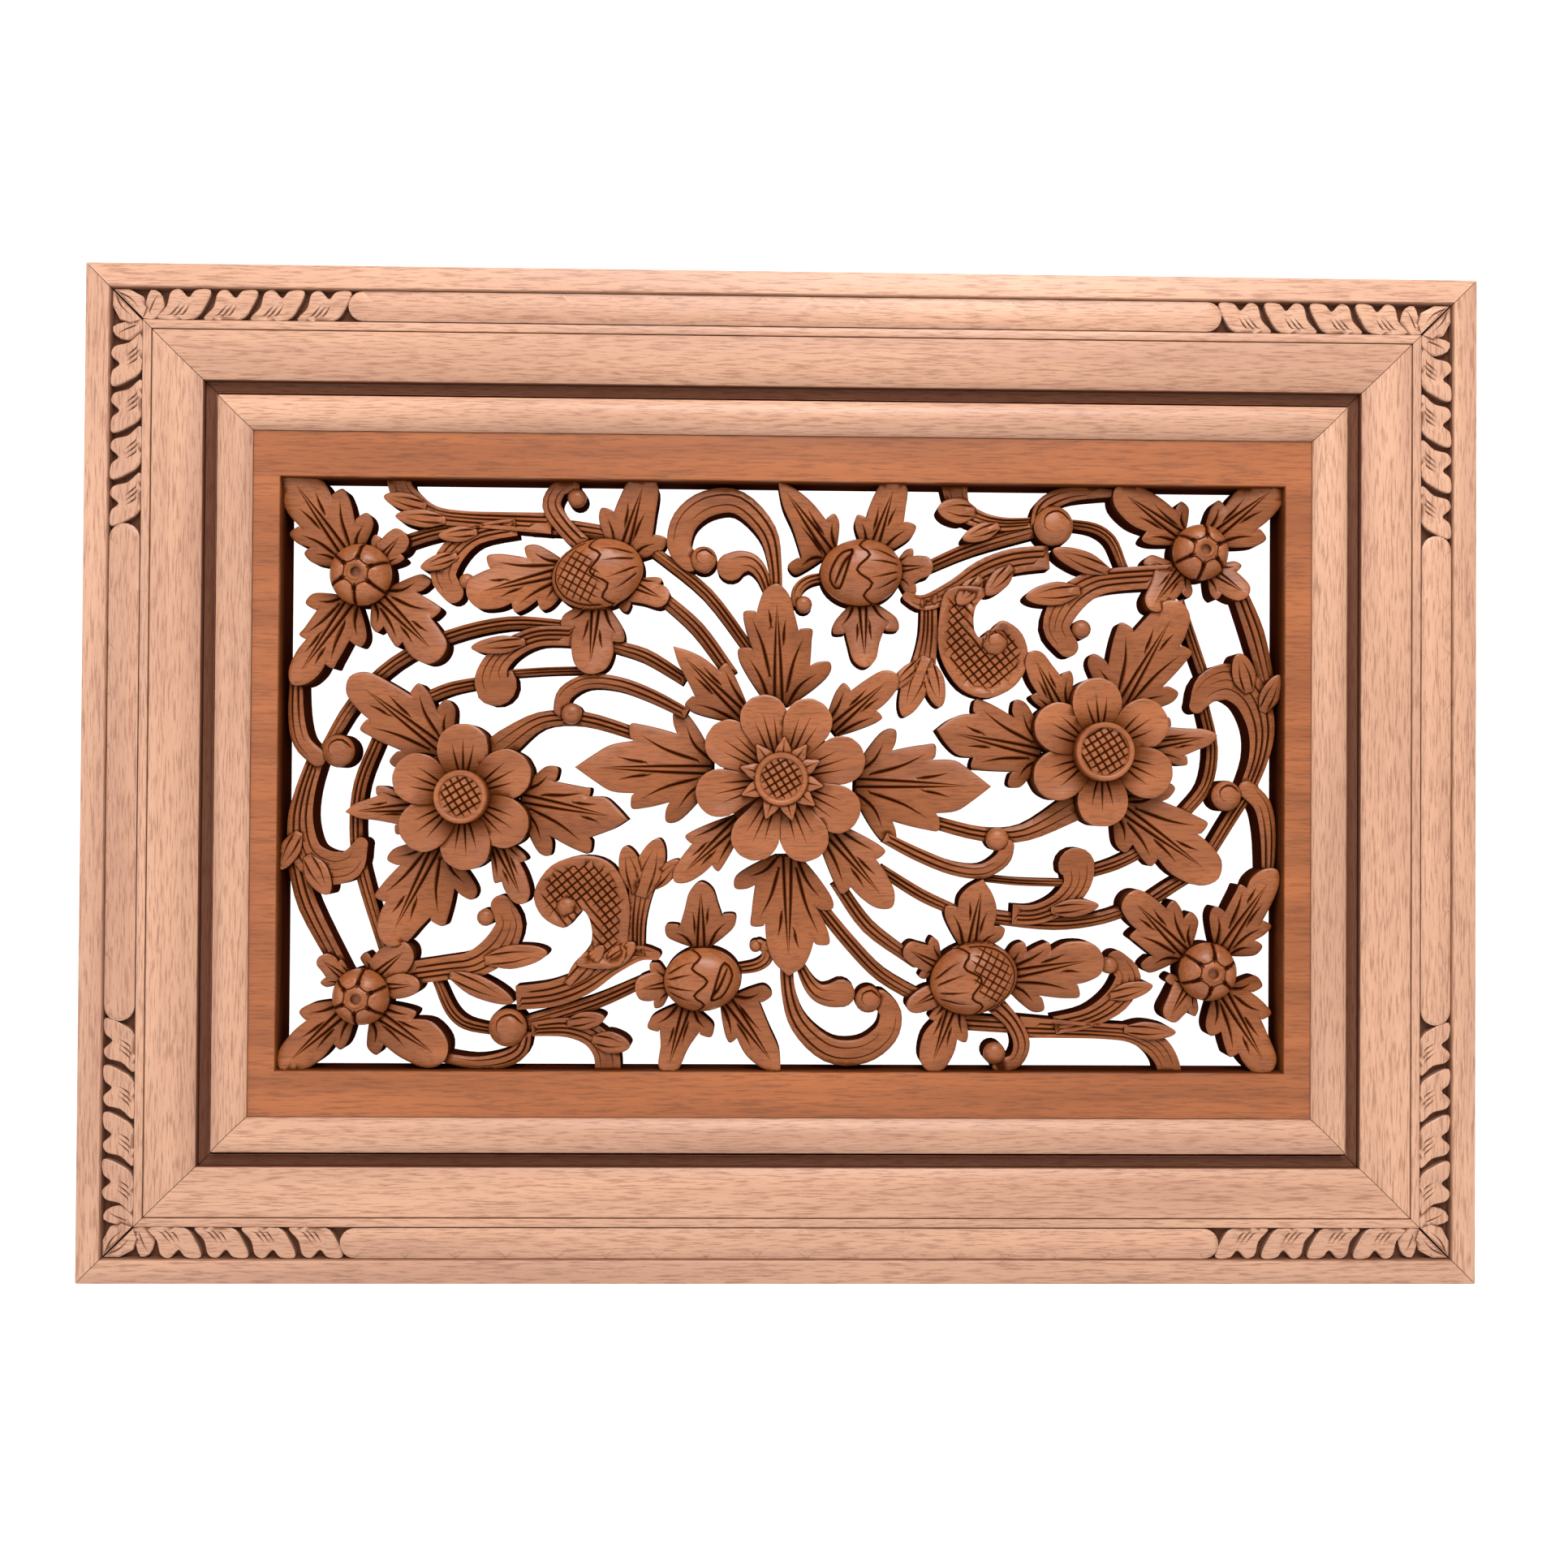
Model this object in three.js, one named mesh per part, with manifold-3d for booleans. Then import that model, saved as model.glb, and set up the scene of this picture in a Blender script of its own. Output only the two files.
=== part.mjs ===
// A carved wooden wall panel: a pierced relief of flowers, leaves and scrolls,
// framed by four mitred rails and a slim bead, made to hang on a wall.
// Millimetres. Inside the group, x is to the right, y up and z out of the wall, with z = 0 at the back.
import * as THREE from 'three';
import { mergeVertices } from 'three/addons/utils/BufferGeometryUtils.js';
import Module from 'manifold-3d';

// Driving dimensions
const panelWidth = 700;
const panelHeight = 508;
const railDepth = 30;
const railWidth = 61.8;
const fitGap = 0.3; // between pieces that meet
const beadStart = 63.8; // from the outer edge of the rail
const beadEnd = 81;
const rebateLevel = 15; // the carved board's rebated edge, under the bead
const marginLevel = 22; // the flat margin around the carving
const openingWidth = 511;
const openingHeight = 300;
const hangHeight = 226; // from the panel's middle up to the middle of the top rail's back

// Heights of the carved forms above the back
const leafLevels = [13, 18.5]; // at the base and at the tip
const leafletLevels = [14, 16.5];
const leafFall = 0.14; // how steeply a leaf falls away from its midrib
const stemLevel = 11.5;
const stemTuck = 5; // how far a stem's ends run in under what it joins
const curlLevel = 14.5;
const scrollLevel = 13.5;
const commaLevel = 16;
const commaRim = 3.6; // width of the rim round a comma's sunk field
const commaSink = 1.6;
const ballWall = 13;
const ballLevel = 14.5;
const calyxLevels = [15, 18.4]; // the round of wood under a flower's petals, at its edge and inside
const petalLevel = 19;
const discLevels = [26, 27]; // a flower's disc, at its edge and middle, and at its rim
const starLevel = 24.5;
const berryLevels = { wall: 14, shoulder: 21, eye: 24, ring: 26, hole: 22 };
const budLevels = [13, 25.5];

// The ornament along the rails
const ornamentStart = 12.8;
const ornamentEnd = 27;
const ornamentGround = 25;
const ornamentLevel = 28.6;
const ornamentSteps = { leaflet: 0.4, heart: 0.25 }; // how far these lie below that level
const ornamentRoot = 5; // how deep its forms reach into the rail
const heartPitch = 23.3;
const heartsPerArm = 4;
const firstHeart = 38; // from the panel's outer corner, along the rail
const barStart = 130;
const barLevels = [28.4, 29.4]; // at its edge and along its middle

const wasm = await Module();
wasm.setup();

// ---- Solids from triangles ----

function toSolid(positions, triangles) {
  const geometry = new THREE.BufferGeometry();
  geometry.setAttribute('position', new THREE.Float32BufferAttribute(positions.flat(), 3));
  geometry.setIndex(triangles.flat());
  const merged = mergeVertices(geometry, 1e-4);
  const triVerts = new Uint32Array(merged.index.array);
  const vertProperties = merged.attributes.position.array;
  return new wasm.Manifold(new wasm.Mesh({ numProp: 3, vertProperties, triVerts }));
}

// A closed three.js geometry as a solid, without the triangles that have no area.
function fromGeometry(geometry) {
  geometry.deleteAttribute('normal');
  geometry.deleteAttribute('uv');
  const merged = mergeVertices(geometry, 1e-3);
  const points = merged.attributes.position;
  const positions = [];
  for (let i = 0; i < points.count; i++) positions.push([points.getX(i), points.getY(i), points.getZ(i)]);
  const triangles = [];
  for (let i = 0; i < merged.index.count; i += 3) {
    const corners = [...merged.index.array.slice(i, i + 3)];
    if (new Set(corners).size === 3) triangles.push(corners);
  }
  return toSolid(positions, triangles);
}

function toGeometry(solid) {
  const { vertProperties, triVerts } = solid.getMesh();
  const geometry = new THREE.BufferGeometry();
  geometry.setAttribute('position', new THREE.BufferAttribute(new Float32Array(vertProperties), 3));
  geometry.setIndex(new THREE.BufferAttribute(new Uint32Array(triVerts), 1));
  return geometry;
}

// Joins in pairs, then pairs of pairs, which keeps each join small.
function joinAll(solids) {
  if (solids.length === 1) return solids[0];
  const half = Math.ceil(solids.length / 2);
  return joinAll(solids.slice(0, half)).add(joinAll(solids.slice(half)));
}

// Every form of the relief starts a little below the back, and one cut makes the whole back flat.
const belowBack = -2;

function fill(points) {
  return THREE.ShapeUtils.triangulateShape(points.map(([x, y]) => new THREE.Vector2(x, y)), []);
}

// A carved form: its outline (counter-clockwise, each point with its own height), points inside it,
// the triangles of its top, straight walls, and a flat underside at the level of floor.
function carvedForm(outline, inside = [], topTriangles = fill(outline), floor = belowBack) {
  const count = outline.length;
  const under = outline.map(([x, y]) => [x, y, floor]);
  const first = count + inside.length;
  const triangles = topTriangles.slice();
  fill(outline).forEach(([a, b, c]) => triangles.push([first + a, first + c, first + b]));
  for (let i = 0; i < count; i++) {
    const next = (i + 1) % count;
    triangles.push([i, first + i, first + next], [i, first + next, next]);
  }
  return toSolid([...outline, ...inside, ...under], triangles);
}

// A form whose outline starts at its base and passes its tip, with a top of two slopes that meet between them.
function twoSlopes(outline, tipIndex) {
  const count = outline.length;
  const half = (first, last) => {
    const indices = [];
    for (let i = first; i <= last; i++) indices.push(i % count);
    return fill(indices.map((i) => outline[i])).map((corners) => corners.map((i) => indices[i]));
  };
  return carvedForm(outline, [], [...half(0, tipIndex), ...half(tipIndex, count)]);
}

function mix(a, b, t) {
  return a + (b - a) * t;
}

// ---- Leaves ----

// One side of a leaf up to its tip, as [distance along the midrib, distance out from it].
// A lobe is [share of the way to the tip, reach from the midrib], with a notch just past its end.
function leafSide(length, endWidth, pointed, lobes) {
  const points = [[0, THREE.MathUtils.clamp(endWidth * 0.55, 3, 6)]];
  for (const [share, reach] of lobes) {
    points.push([share * length, reach], [share * length - 0.04 * reach - 0.5, 0.62 * reach]);
  }
  const start = points.at(-1)[0];
  const rest = length - start;
  const plain = lobes.length === 0 || pointed > 0.7;
  if (plain) {
    points.push([start + 0.5 * rest, endWidth]);
  } else {
    const shoulder = length - (0.16 + 0.17 * pointed) * rest;
    points.push([start + 0.38 * rest, endWidth], [shoulder, endWidth * 0.7]);
  }
  return points;
}

// A leaf lying from base to tip: two slopes that meet along the midrib, which rises to the tip.
function leaf(base, tip, endWidth, pointed, leftLobes, rightLobes, levels = leafLevels) {
  const from = new THREE.Vector2(...base);
  const along = new THREE.Vector2(...tip).sub(from);
  const length = along.length();
  along.normalize();
  const place = ([a, s]) => [
    from.x + along.x * a - along.y * s,
    from.y + along.y * a + along.x * s,
    mix(levels[0], levels[1], a / length) - leafFall * Math.abs(s),
  ];
  const right = leafSide(length, endWidth, pointed, rightLobes).map(([a, s]) => [a, -s]);
  const left = leafSide(length, endWidth, pointed, leftLobes).reverse();
  return twoSlopes([[0, 0], ...right, [length, 0], ...left].map(place), right.length + 1);
}

// ---- Stems, curls and scrolls ----

// A flat band along a smooth line through points [x, y, half width].
// Its ends reach a little further than the line, by tuck, to run in under what they join.
function band(points, level, tuck = 0) {
  const knots = points.map(([x, y, halfWidth]) => new THREE.Vector3(x, y, halfWidth));
  const curve = new THREE.CatmullRomCurve3(knots, false, 'catmullrom', 0.5);
  const spans = points.length - 1;
  const right = [];
  const left = [];
  const put = (at, heading, further) => {
    const x = at.x + heading.x * further;
    const y = at.y + heading.y * further;
    right.push([x + heading.y * at.z, y - heading.x * at.z, level]);
    left.push([x - heading.y * at.z, y + heading.x * at.z, level]);
  };
  for (let i = 0; i <= spans; i++) {
    const at = curve.getPoint(i / spans);
    const heading = curve.getTangent(i / spans).setZ(0).normalize();
    const further = i === 0 ? -tuck : tuck * Math.floor(i / spans);
    put(at, heading, further);
    if (i === spans && !tuck) right.push([at.x + heading.x * at.z, at.y + heading.y * at.z, level]);
  }
  return carvedForm([...right, ...left.reverse()]);
}

// ---- Round forms ----

// A turned form on an upright axis: profile of [radius, height] from the bottom of its wall to its middle.
function turned(x, y, profile, sides, stretch = 1, angle = 0) {
  const shape = profile.map(([radius, height]) => new THREE.Vector2(Math.max(radius, 0), height));
  const lathe = new THREE.LatheGeometry([new THREE.Vector2(0, belowBack), ...shape], sides);
  lathe.rotateX(Math.PI / 2);
  lathe.scale(1, 1 / stretch, 1);
  lathe.rotateZ(THREE.MathUtils.degToRad(angle));
  lathe.translate(x, y, 0);
  return fromGeometry(lathe);
}

function dome(x, y, radius, wallTop, top, sides, rings, stretch, angle) {
  const rise = top - wallTop;
  const profile = [[radius, belowBack], [radius, wallTop]];
  for (let ring = 1; ring < rings; ring++) {
    const around = (Math.PI / 2) * (ring / rings);
    profile.push([radius * Math.cos(around), wallTop + rise * Math.sin(around)]);
  }
  profile.push([0, top]);
  return turned(x, y, profile, sides, stretch, angle);
}

// A rounded petal from the flower's middle out to its tip: two slopes that dip to its middle line.
function petal([x, y], angle, tip, halfWidth) {
  const turn = THREE.MathUtils.degToRad(angle);
  const half = [
    [8, 4.5],
    [tip - halfWidth * 1.5, halfWidth * 0.9],
    [tip - halfWidth * 0.55, halfWidth * 0.9],
    [tip - halfWidth * 0.03, halfWidth * 0.35],
  ];
  const place = ([r, s]) => [
    x + r * Math.cos(turn) - s * Math.sin(turn),
    y + r * Math.sin(turn) + s * Math.cos(turn),
    petalLevel + 0.06 * r + 0.12 * Math.abs(s),
  ];
  const right = half.map(([r, s]) => [r, -s]);
  return twoSlopes([[8, 0], ...right, [tip, 0], ...half.reverse()].map(place), right.length + 1);
}

// A pointed ray of the star round the middle flower's disc.
function starRay([x, y], angle) {
  const turn = THREE.MathUtils.degToRad(angle);
  const at = (r, s) => [
    x + r * Math.cos(turn) - s * Math.sin(turn),
    y + r * Math.sin(turn) + s * Math.cos(turn),
    starLevel,
  ];
  return carvedForm([at(9, -5), at(21.5, 0), at(9, 5)]);
}

function berry(x, y, radius) {
  const eye = 4.8;
  const hole = 2.8;
  const { wall, shoulder, eye: eyeLevel, ring, hole: holeLevel } = berryLevels;
  const profile = [[radius, belowBack], [radius, wall], [radius * 0.75, shoulder], [eye, eyeLevel], [eye, ring]];
  return turned(x, y, [...profile, [hole, ring], [0, holeLevel]], 9);
}

// A comma: an outline with a sunk field inside a rim.
function comma(points) {
  const count = points.length;
  const outline = points.map(([x, y]) => [x, y, commaLevel]);
  const inside = [];
  for (const drop of [0, commaSink]) {
    points.forEach((point, i) => {
      const before = new THREE.Vector2(...points[(i + count - 1) % count]);
      const after = new THREE.Vector2(...points[(i + 1) % count]);
      const inward = after.sub(before).normalize();
      inside.push([point[0] - inward.y * commaRim, point[1] + inward.x * commaRim, commaLevel - drop]);
    });
  }
  const triangles = [];
  for (let ring = 0; ring < 2; ring++) {
    for (let i = 0; i < count; i++) {
      const next = (i + 1) % count;
      const outer = ring * count;
      const inner = outer + count;
      triangles.push([outer + i, outer + next, inner + next], [outer + i, inner + next, inner + i]);
    }
  }
  fill(inside.slice(count)).forEach((corners) => triangles.push(corners.map((i) => i + 2 * count)));
  return carvedForm(outline, inside, triangles);
}

// ---- Where everything lies ----

// Leaves of each flower, bud and berry:
// base, tip, half width of the end lobe, how pointed it is, then the lobes of the left and the right side,
// each [share of the way to the tip, reach from the midrib].
const centreLeaves = [
  [[-3, 36], [-4.5, 98.5], 9, 0.35, [[0.48, 20], [0.78, 17]], [[0.36, 27], [0.63, 18]]],
  [[-20, 30], [-57, 66], 7, 0.8, [[0.52, 17]], [[0.52, 13]]],
  [[-36, 3], [-106.5, 4], 12, 1, [[0.34, 27], [0.59, 20.5]], [[0.3, 30], [0.61, 23]]],
  [[-22, -22], [-55.5, -54], 7, 0.3, [[0.58, 11.5]], [[0.58, 13]]],
  [[2, -40], [3, -101.5], 11, 0.5, [[0.46, 23], [0.75, 21]], [[0.28, 27], [0.59, 19]]],
  [[20, -25], [55.5, -66.5], 9, 0.3, [[0.57, 16]], [[0.61, 15]]],
  [[36, -3], [106, -4.5], 13, 1, [[0.3, 28], [0.59, 21]], [[0.32, 31], [0.63, 23.5]]],
  [[24, 24], [57, 53], 8, 0.1, [[0.48, 14]], [[0.55, 12.5]]],
];
const leftFlowerLeaves = [
  [[-174, 12], [-221, 49], 10.5, 0.1, [[0.31, 22], [0.67, 18]], [[0.27, 21], [0.53, 19]]],
  [[-188, -17], [-222.5, -19.5], 5.5, 0.6, [[0.32, 13]], [[0.55, 12]]],
  [[-177, -36], [-201, -87], 10.5, 0.2, [[0.32, 28], [0.64, 21]], [[0.32, 20], [0.66, 17]]],
  [[-147, -34], [-131.5, -65.5], 6.5, 0.1, [[0.43, 10]], [[0.55, 9.5]]],
  [[-135, -12], [-79.5, -22.5], 9, 0.9, [[0.28, 19], [0.61, 12]], [[0.36, 26], [0.71, 21]]],
];
const rightFlowerLeaves = [
  [[173, 36], [203, 91], 11, 0.1, [[0.3, 25.5], [0.63, 21]], [[0.36, 23], [0.7, 18.5]]],
  [[143, 34], [126, 65], 7, 0.1, [[0.42, 10]], [[0.48, 14]]],
  [[133, 13], [78, 24.5], 10.5, 0.8, [[0.235, 20], [0.61, 15.5]], [[0.34, 24], [0.7, 20]]],
  [[188, 17], [222, 22.5], 6, 0.4, [[0.38, 13]], [[0.53, 12.5]]],
  [[174, -15], [223, -51], 12, 0.1, [[0.28, 25.5], [0.67, 20.5]], [[0.26, 17], [0.5, 15]]],
];
const cornerBerryLeaves = [
  [[-223, 109], [-254, 154], 12, 0.3, [[0.3, 17], [0.52, 17.5]], [[0.29, 21], [0.59, 18]]],
  [[-209, 108], [-194, 123], 6.5, 0, [[0.46, 10.5]], [[0.55, 8.5]]],
  [[-222, 89], [-250, 45], 8, 0.3, [[0.34, 17], [0.66, 12]], [[0.27, 19], [0.56, 12]]],
  [[-208, 91], [-175, 59], 10, 0, [[0.29, 24], [0.6, 17.5]], [[0.27, 14], [0.55, 12]]],
  [[205, 126], [169, 149], 10, 0.1, [[0.38, 13]], [[0.23, 15]]],
  [[221, 125], [255, 153], 11, 0.1, [[0.34, 13]], [[0.49, 18]]],
  [[205, 109], [187, 87], 7.5, 0.1, [[0.34, 12.5]], [[0.36, 17]]],
  [[221, 108], [238, 94.5], 6.5, 0.1, [[0.46, 11.5]], [[0.5, 10.5]]],
  [[-209, -104], [-189, -87.5], 9, 0, [[0.2, 12.5]], []],
  [[-207, -109], [-184, -107], 6.5, 0, [], []],
  [[-223, -105], [-235, -93], 5, 0, [[0.45, 10]], [[0.5, 6]]],
  [[-222, -120], [-254, -150], 10, 0.1, [[0.38, 13]], [[0.43, 15.5]]],
  [[-208, -122], [-171, -145], 12, 0.1, [[0.41, 11.5]], [[0.28, 18]]],
  [[208, -90], [176, -59.5], 9, 0, [[0.28, 20.5], [0.62, 14]], [[0.29, 17.5], [0.54, 15.5]]],
  [[227, -89], [253, -46], 8, 0.3, [[0.36, 15.5], [0.68, 11]], [[0.27, 16.5], [0.49, 14.5]]],
  [[227, -109], [250, -150], 9, 0, [[0.18, 20], [0.48, 16.5]], [[0.375, 16.5], [0.665, 13.5]]],
  [[210, -106], [197, -123.5], 6, 0, [[0.53, 11.5]], [[0.25, 11.5]]],
];
const budLeaves = [
  [[-112, 105], [-162, 91], 10, 0, [[0.35, 16], [0.6, 14]], [[0.34, 17.5], [0.72, 17.5]]],
  [[-84, 112], [-71, 154], 10, 0, [[0.48, 17.5]], [[0.37, 19]]],
  [[-78, 98], [-60, 89], 6.5, 0, [[0.6, 9]], [[0.15, 14]]],
  [[-97, 88], [-99.5, 51.5], 11, 0.1, [[0.5, 15.5]], [[0.36, 17]]],
  [[114, -102], [164, -91.5], 11, 0, [[0.27, 15], [0.51, 12.5]], [[0.33, 21.5], [0.7, 18]]],
  [[97, -88], [102, -52], 10, 0.7, [[0.55, 16]], [[0.36, 15.5]]],
  [[80, -97], [62, -87], 6, 0, [[0.3, 9.5]], [[0.5, 11.5]]],
  [[88, -116], [75, -150], 9, 0, [[0.45, 13]], [[0.32, 9]]],
  [[84, -109], [63.5, -118], 6, 0, [], []],
  [[23, 115], [-4, 151], 8, 0.7, [[0.18, 21]], [[0.34, 14]]],
  [[45, 116], [57, 153], 9, 0, [[0.4, 13.5]], [[0.51, 17]]],
  [[57, 107], [75.5, 108.5], 6, 0, [[0.5, 10]], [[0.5, 13]]],
  [[40, 91], [41, 56], 8, 0.2, [[0.45, 18]], [[0.48, 15.5]]],
  [[-42, -88], [-42, -54], 8.5, 0.3, [[0.34, 18]], [[0.5, 17.5]]],
  [[-58, -107], [-75, -109], 7, 0, [[0.5, 11]], [[0.5, 12]]],
  [[-49, -118], [-59, -152], 7, 0, [[0.33, 16.5]], [[0.46, 16]]],
  [[-28, -115], [-1, -151], 9, 0.5, [[0.25, 20]], [[0.4, 12]]],
];

// Stems: points [x, y, half width] along each one.
const stems = [
  [[-20, 68, 3], [-40, 94, 3.2], [-64, 113, 2.8]],
  [[-30, 56, 3.6], [-45, 76, 3.8], [-62, 91, 3.4]],
  [[-55, 52, 3.2], [-72, 62, 3.6], [-90, 67, 3]],
  [[-78, 22, 3.4], [-103, 29, 3.8], [-125, 28, 4.5], [-142, 17, 7]],
  [[-116, 77, 3], [-142, 78, 3.4], [-172, 71, 3.4], [-200, 57, 3.4], [-221, 36, 3.4], [-234, 14, 3]],
  [[-158, 47, 3], [-172, 44, 3.2], [-186, 38, 3.2]],
  [[-106, 54, 2], [-122, 53.5, 2], [-142, 52, 2]],
  [[-209, 16, 3.2], [-217, -5, 3.4], [-219, -28, 3.4], [-216, -50, 3.4], [-205, -86, 3]],
  [[-249, -46, 4.5], [-243, -68, 5], [-226, -100, 4]],
  [[206, 88, 2.6], [212, 70, 2.8], [218, 53, 2.6]],
  [[218, 36, 2.8], [222, 16, 3], [219, -3, 3], [209, -16, 3]],
  [[241, -6, 3.2], [232, -20, 3.2], [221, -38, 3]],
  [[236, 97, 4], [244, 76, 5], [250, 52, 4]],
  [[20, -68, 3.4], [35, -86, 3.6], [51, -102, 3.6], [72, -114, 3.6]],
  [[30, -58, 3.4], [44, -77, 3.8], [64, -92, 3.2]],
  [[54, -50, 3], [72, -61, 3.2], [90, -69, 2.8]],
  [[78, -23, 3.4], [103, -29, 3.8], [125, -28, 4.5], [148, -16, 7]],
  [[106, -52, 2], [122, -53.5, 2], [144, -54, 2]],
  [[110, -72, 3.6], [140, -75, 3.4], [165, -72, 3.2], [184, -65, 3]],
  [[156, -49, 3], [172, -44, 3.2], [186, -37, 3.2]],
  [[190, -63, 3.4], [202, -55, 3.4], [214, -48, 3]],
  [[92, -126, 4], [108, -127, 4], [126, -128, 4]],
  [[72, 108, 3], [97, 119, 3.6], [130, 129, 4]],
  [[-72, -106, 3], [-97, -117, 3.6], [-132, -128, 4]],
  [[146, 132, 2.4], [160, 130, 2.6], [169, 124, 2.6], [174, 113, 2.4]],
  [[-148, -131, 2.4], [-162, -128, 2.8], [-170, -121, 2.8], [-176, -108, 2.4]],
  [[-196, 119, 3.4], [-180, 124, 3.4], [-160, 127, 3.4]],
  [[-126, 128, 4], [-108, 127, 4], [-88, 124, 3.6]],
];

// Curls: bands that grow and roll up at the end.
const curls = [
  [
    [-4.5, 90, 3], [-5.2, 108, 3.4], [-9.5, 126, 5], [-24, 140.5, 6], [-40, 140, 6.8],
    [-51.5, 131, 6.8], [-54.5, 118, 6.2], [-49, 110, 5.2],
  ],
  [
    [2, -90, 3.2], [3, -110, 3.6], [9, -127, 5], [24, -140, 6.3], [41, -140.5, 6.5], [53, -132, 6.2],
    [55.5, -121, 5.6], [50, -114, 5],
  ],
  [[-8.5, 94, 2], [-12, 104, 3.4], [-17, 109.5, 4.6], [-23, 110, 6], [-28, 107.5, 7.2]],
  [[8, -95, 2], [13, -105, 3.4], [18, -110.5, 4.6], [24, -112, 6], [30, -111, 7.2]],
  [[21, 103, 2], [12, 101, 2.6], [6.5, 96, 2.8], [6, 90, 3]],
  [[-23, -99, 2.4], [-14, -97.5, 2.8], [-8.5, -94, 3], [-8, -89, 3], [-12, -86, 2.6]],
  [[-104, 118, 4.5], [-113, 127, 4.5], [-120, 138, 4.8], [-116, 147, 4.2], [-109, 148, 3.4]],
  [[109, -116, 5], [118, -125, 4], [123, -136, 4.3], [120, -145, 3.8], [112, -148, 4]],
  [[129.5, 130, 3], [132, 139, 4], [139, 144, 4.5], [150, 147, 3.5], [172, 147.5, 1.8]],
  [[-131, -131, 3], [-134, -141, 4], [-144, -146, 4], [-158, -147, 3], [-175, -144, 2.5]],
  [[-249, 52, 3], [-249, 30, 4], [-246, 16, 4.5], [-238, 8, 4.5]],
  [[250, -48, 3], [250, -28, 4], [247, -13, 4.5], [239, -5, 4.5]],
  [[-50, 32, 2.8], [-68, 41, 3.4], [-85, 47, 3.6], [-101, 48, 3.8], [-112, 42, 4], [-114.5, 34, 3.8]],
  [[52, -31, 2.8], [70, -40, 3.4], [87, -46.5, 3.6], [102, -48, 3.8], [112.5, -42, 4], [115, -35, 3.8]],
];

// Scroll leaves: a band, then the leaflets that spring from it, each [base, tip, half width].
const scrolls = [
  [
    [
      [-120, 129, 5.5], [-145, 130, 4.5], [-165, 131, 4], [-180, 133, 4.5], [-191, 139, 6],
      [-197, 146, 6], [-198, 154, 6],
    ],
    [[[-184, 137], [-205, 141.5], 4.5], [[-174, 130], [-199, 131.5], 4.5]],
  ],
  [
    [[-138, 127, 4.5], [-158, 123, 5], [-170, 114, 6.5], [-175, 102, 6.5], [-170, 93, 5.5]],
    [[[-158, 124], [-177, 121.5], 4], [[-168, 112], [-186, 105], 4]],
  ],
  [
    [
      [122, -128, 5.5], [145, -129, 4.5], [165, -130, 4], [180, -131.5, 4.5], [192, -137, 6],
      [198, -145, 6], [200, -154, 6],
    ],
    [[[176, -129], [202, -130], 4.5]],
  ],
  [
    [[140, -127, 4.5], [158, -123, 5], [172, -114, 6.5], [178, -102, 6.5], [172, -94, 5.5]],
    [[[168, -112], [190, -106], 4.5]],
  ],
  [
    [[-108, 71, 5], [-125, 71, 5], [-138, 66, 5.5], [-147, 58, 6.5], [-150, 50, 8.5], [-148, 46, 11]],
    [[[-133, 68], [-160, 64.5], 4.5]],
  ],
  [
    [[118, -70, 5], [130, -70, 5], [142, -65, 5.5], [150, -57, 6.5], [152, -50, 8], [151, -45, 9.5]],
    [[[138, -68], [162, -65], 4.5]],
  ],
  [
    [[128, 132, 2.5], [112, 131, 3.5], [99, 133.5, 4.5], [89.5, 140, 5.5], [86.5, 154, 7]],
    [[[110, 130], [91, 122.5], 4.5], [[98, 137], [78, 138], 6.5]],
  ],
  [
    [[-128, -130, 3.5], [-110, -129, 5], [-97, -133, 6], [-90, -142, 6.5], [-89, -154, 6.5]],
    [[[-110, -127], [-90.5, -123.5], 4.5], [[-97, -135], [-77.5, -138], 5.5]],
  ],
  [
    [[136, 114, 6], [118, 112, 6.5], [102, 106, 6.5], [88, 97, 5.5], [72, 90, 4], [63, 93, 2.5]],
    [[[117, 109], [103, 94], 5], [[101, 103], [88.5, 89], 5]],
  ],
  [
    [
      [-136, -114, 6], [-118, -112, 6.5], [-102, -106, 6.5], [-88, -97, 5.5], [-74, -91, 4],
      [-65, -92, 2.5],
    ],
    [[[-110, -107], [-91.5, -87], 5], [[-91, -98], [-75.5, -85.5], 5]],
  ],
  [
    [[200, 105, 6], [172, 103, 6], [158, 100, 7], [146, 91, 8], [140, 78, 7], [146, 68, 5.5]],
    [[[167, 107], [137.5, 117.5], 5.5], [[152, 97], [123.5, 93], 6]],
  ],
  [
    [[-199, -103, 6], [-172, -99, 6], [-158, -97, 7], [-146, -89, 8], [-140, -77, 7], [-144, -67, 5.5]],
    [[[-170, -102], [-137, -116], 5.5], [[-152, -95], [-120, -90.5], 6]],
  ],
  [
    [
      [-238, 10, 4], [-244, -8, 5], [-246.5, -25, 6.5], [-243, -41, 8], [-232, -48, 8.5],
      [-221, -46, 7.5], [-215.5, -36, 3.5],
    ],
    [[[-243, -42], [-231, -61.5], 6], [[-247, -30], [-256, -49], 5]],
  ],
  [
    [
      [238, -8, 4], [245, 10, 5], [246.5, 27, 7], [241, 43, 9], [230, 50.5, 9.5], [219, 47, 8],
      [213, 38, 4],
    ],
    [[[240, 45], [233.5, 65], 6], [[247, 35], [255, 54], 5]],
  ],
  [
    [[74, 94, 4], [74, 75, 4.5], [72, 60, 6], [70, 52, 8]],
    [[[73, 62], [61, 31], 7], [[74, 60], [80, 36], 5.5], [[70, 60], [54.5, 45], 4]],
  ],
  [
    [[-75, -92, 4], [-75, -75, 4.5], [-73, -60, 6], [-71, -52, 8]],
    [[[-73, -62], [-63.5, -32], 7.5], [[-75, -60], [-81, -36], 6], [[-68, -58], [-53.5, -43], 4.5]],
  ],
];

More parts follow.
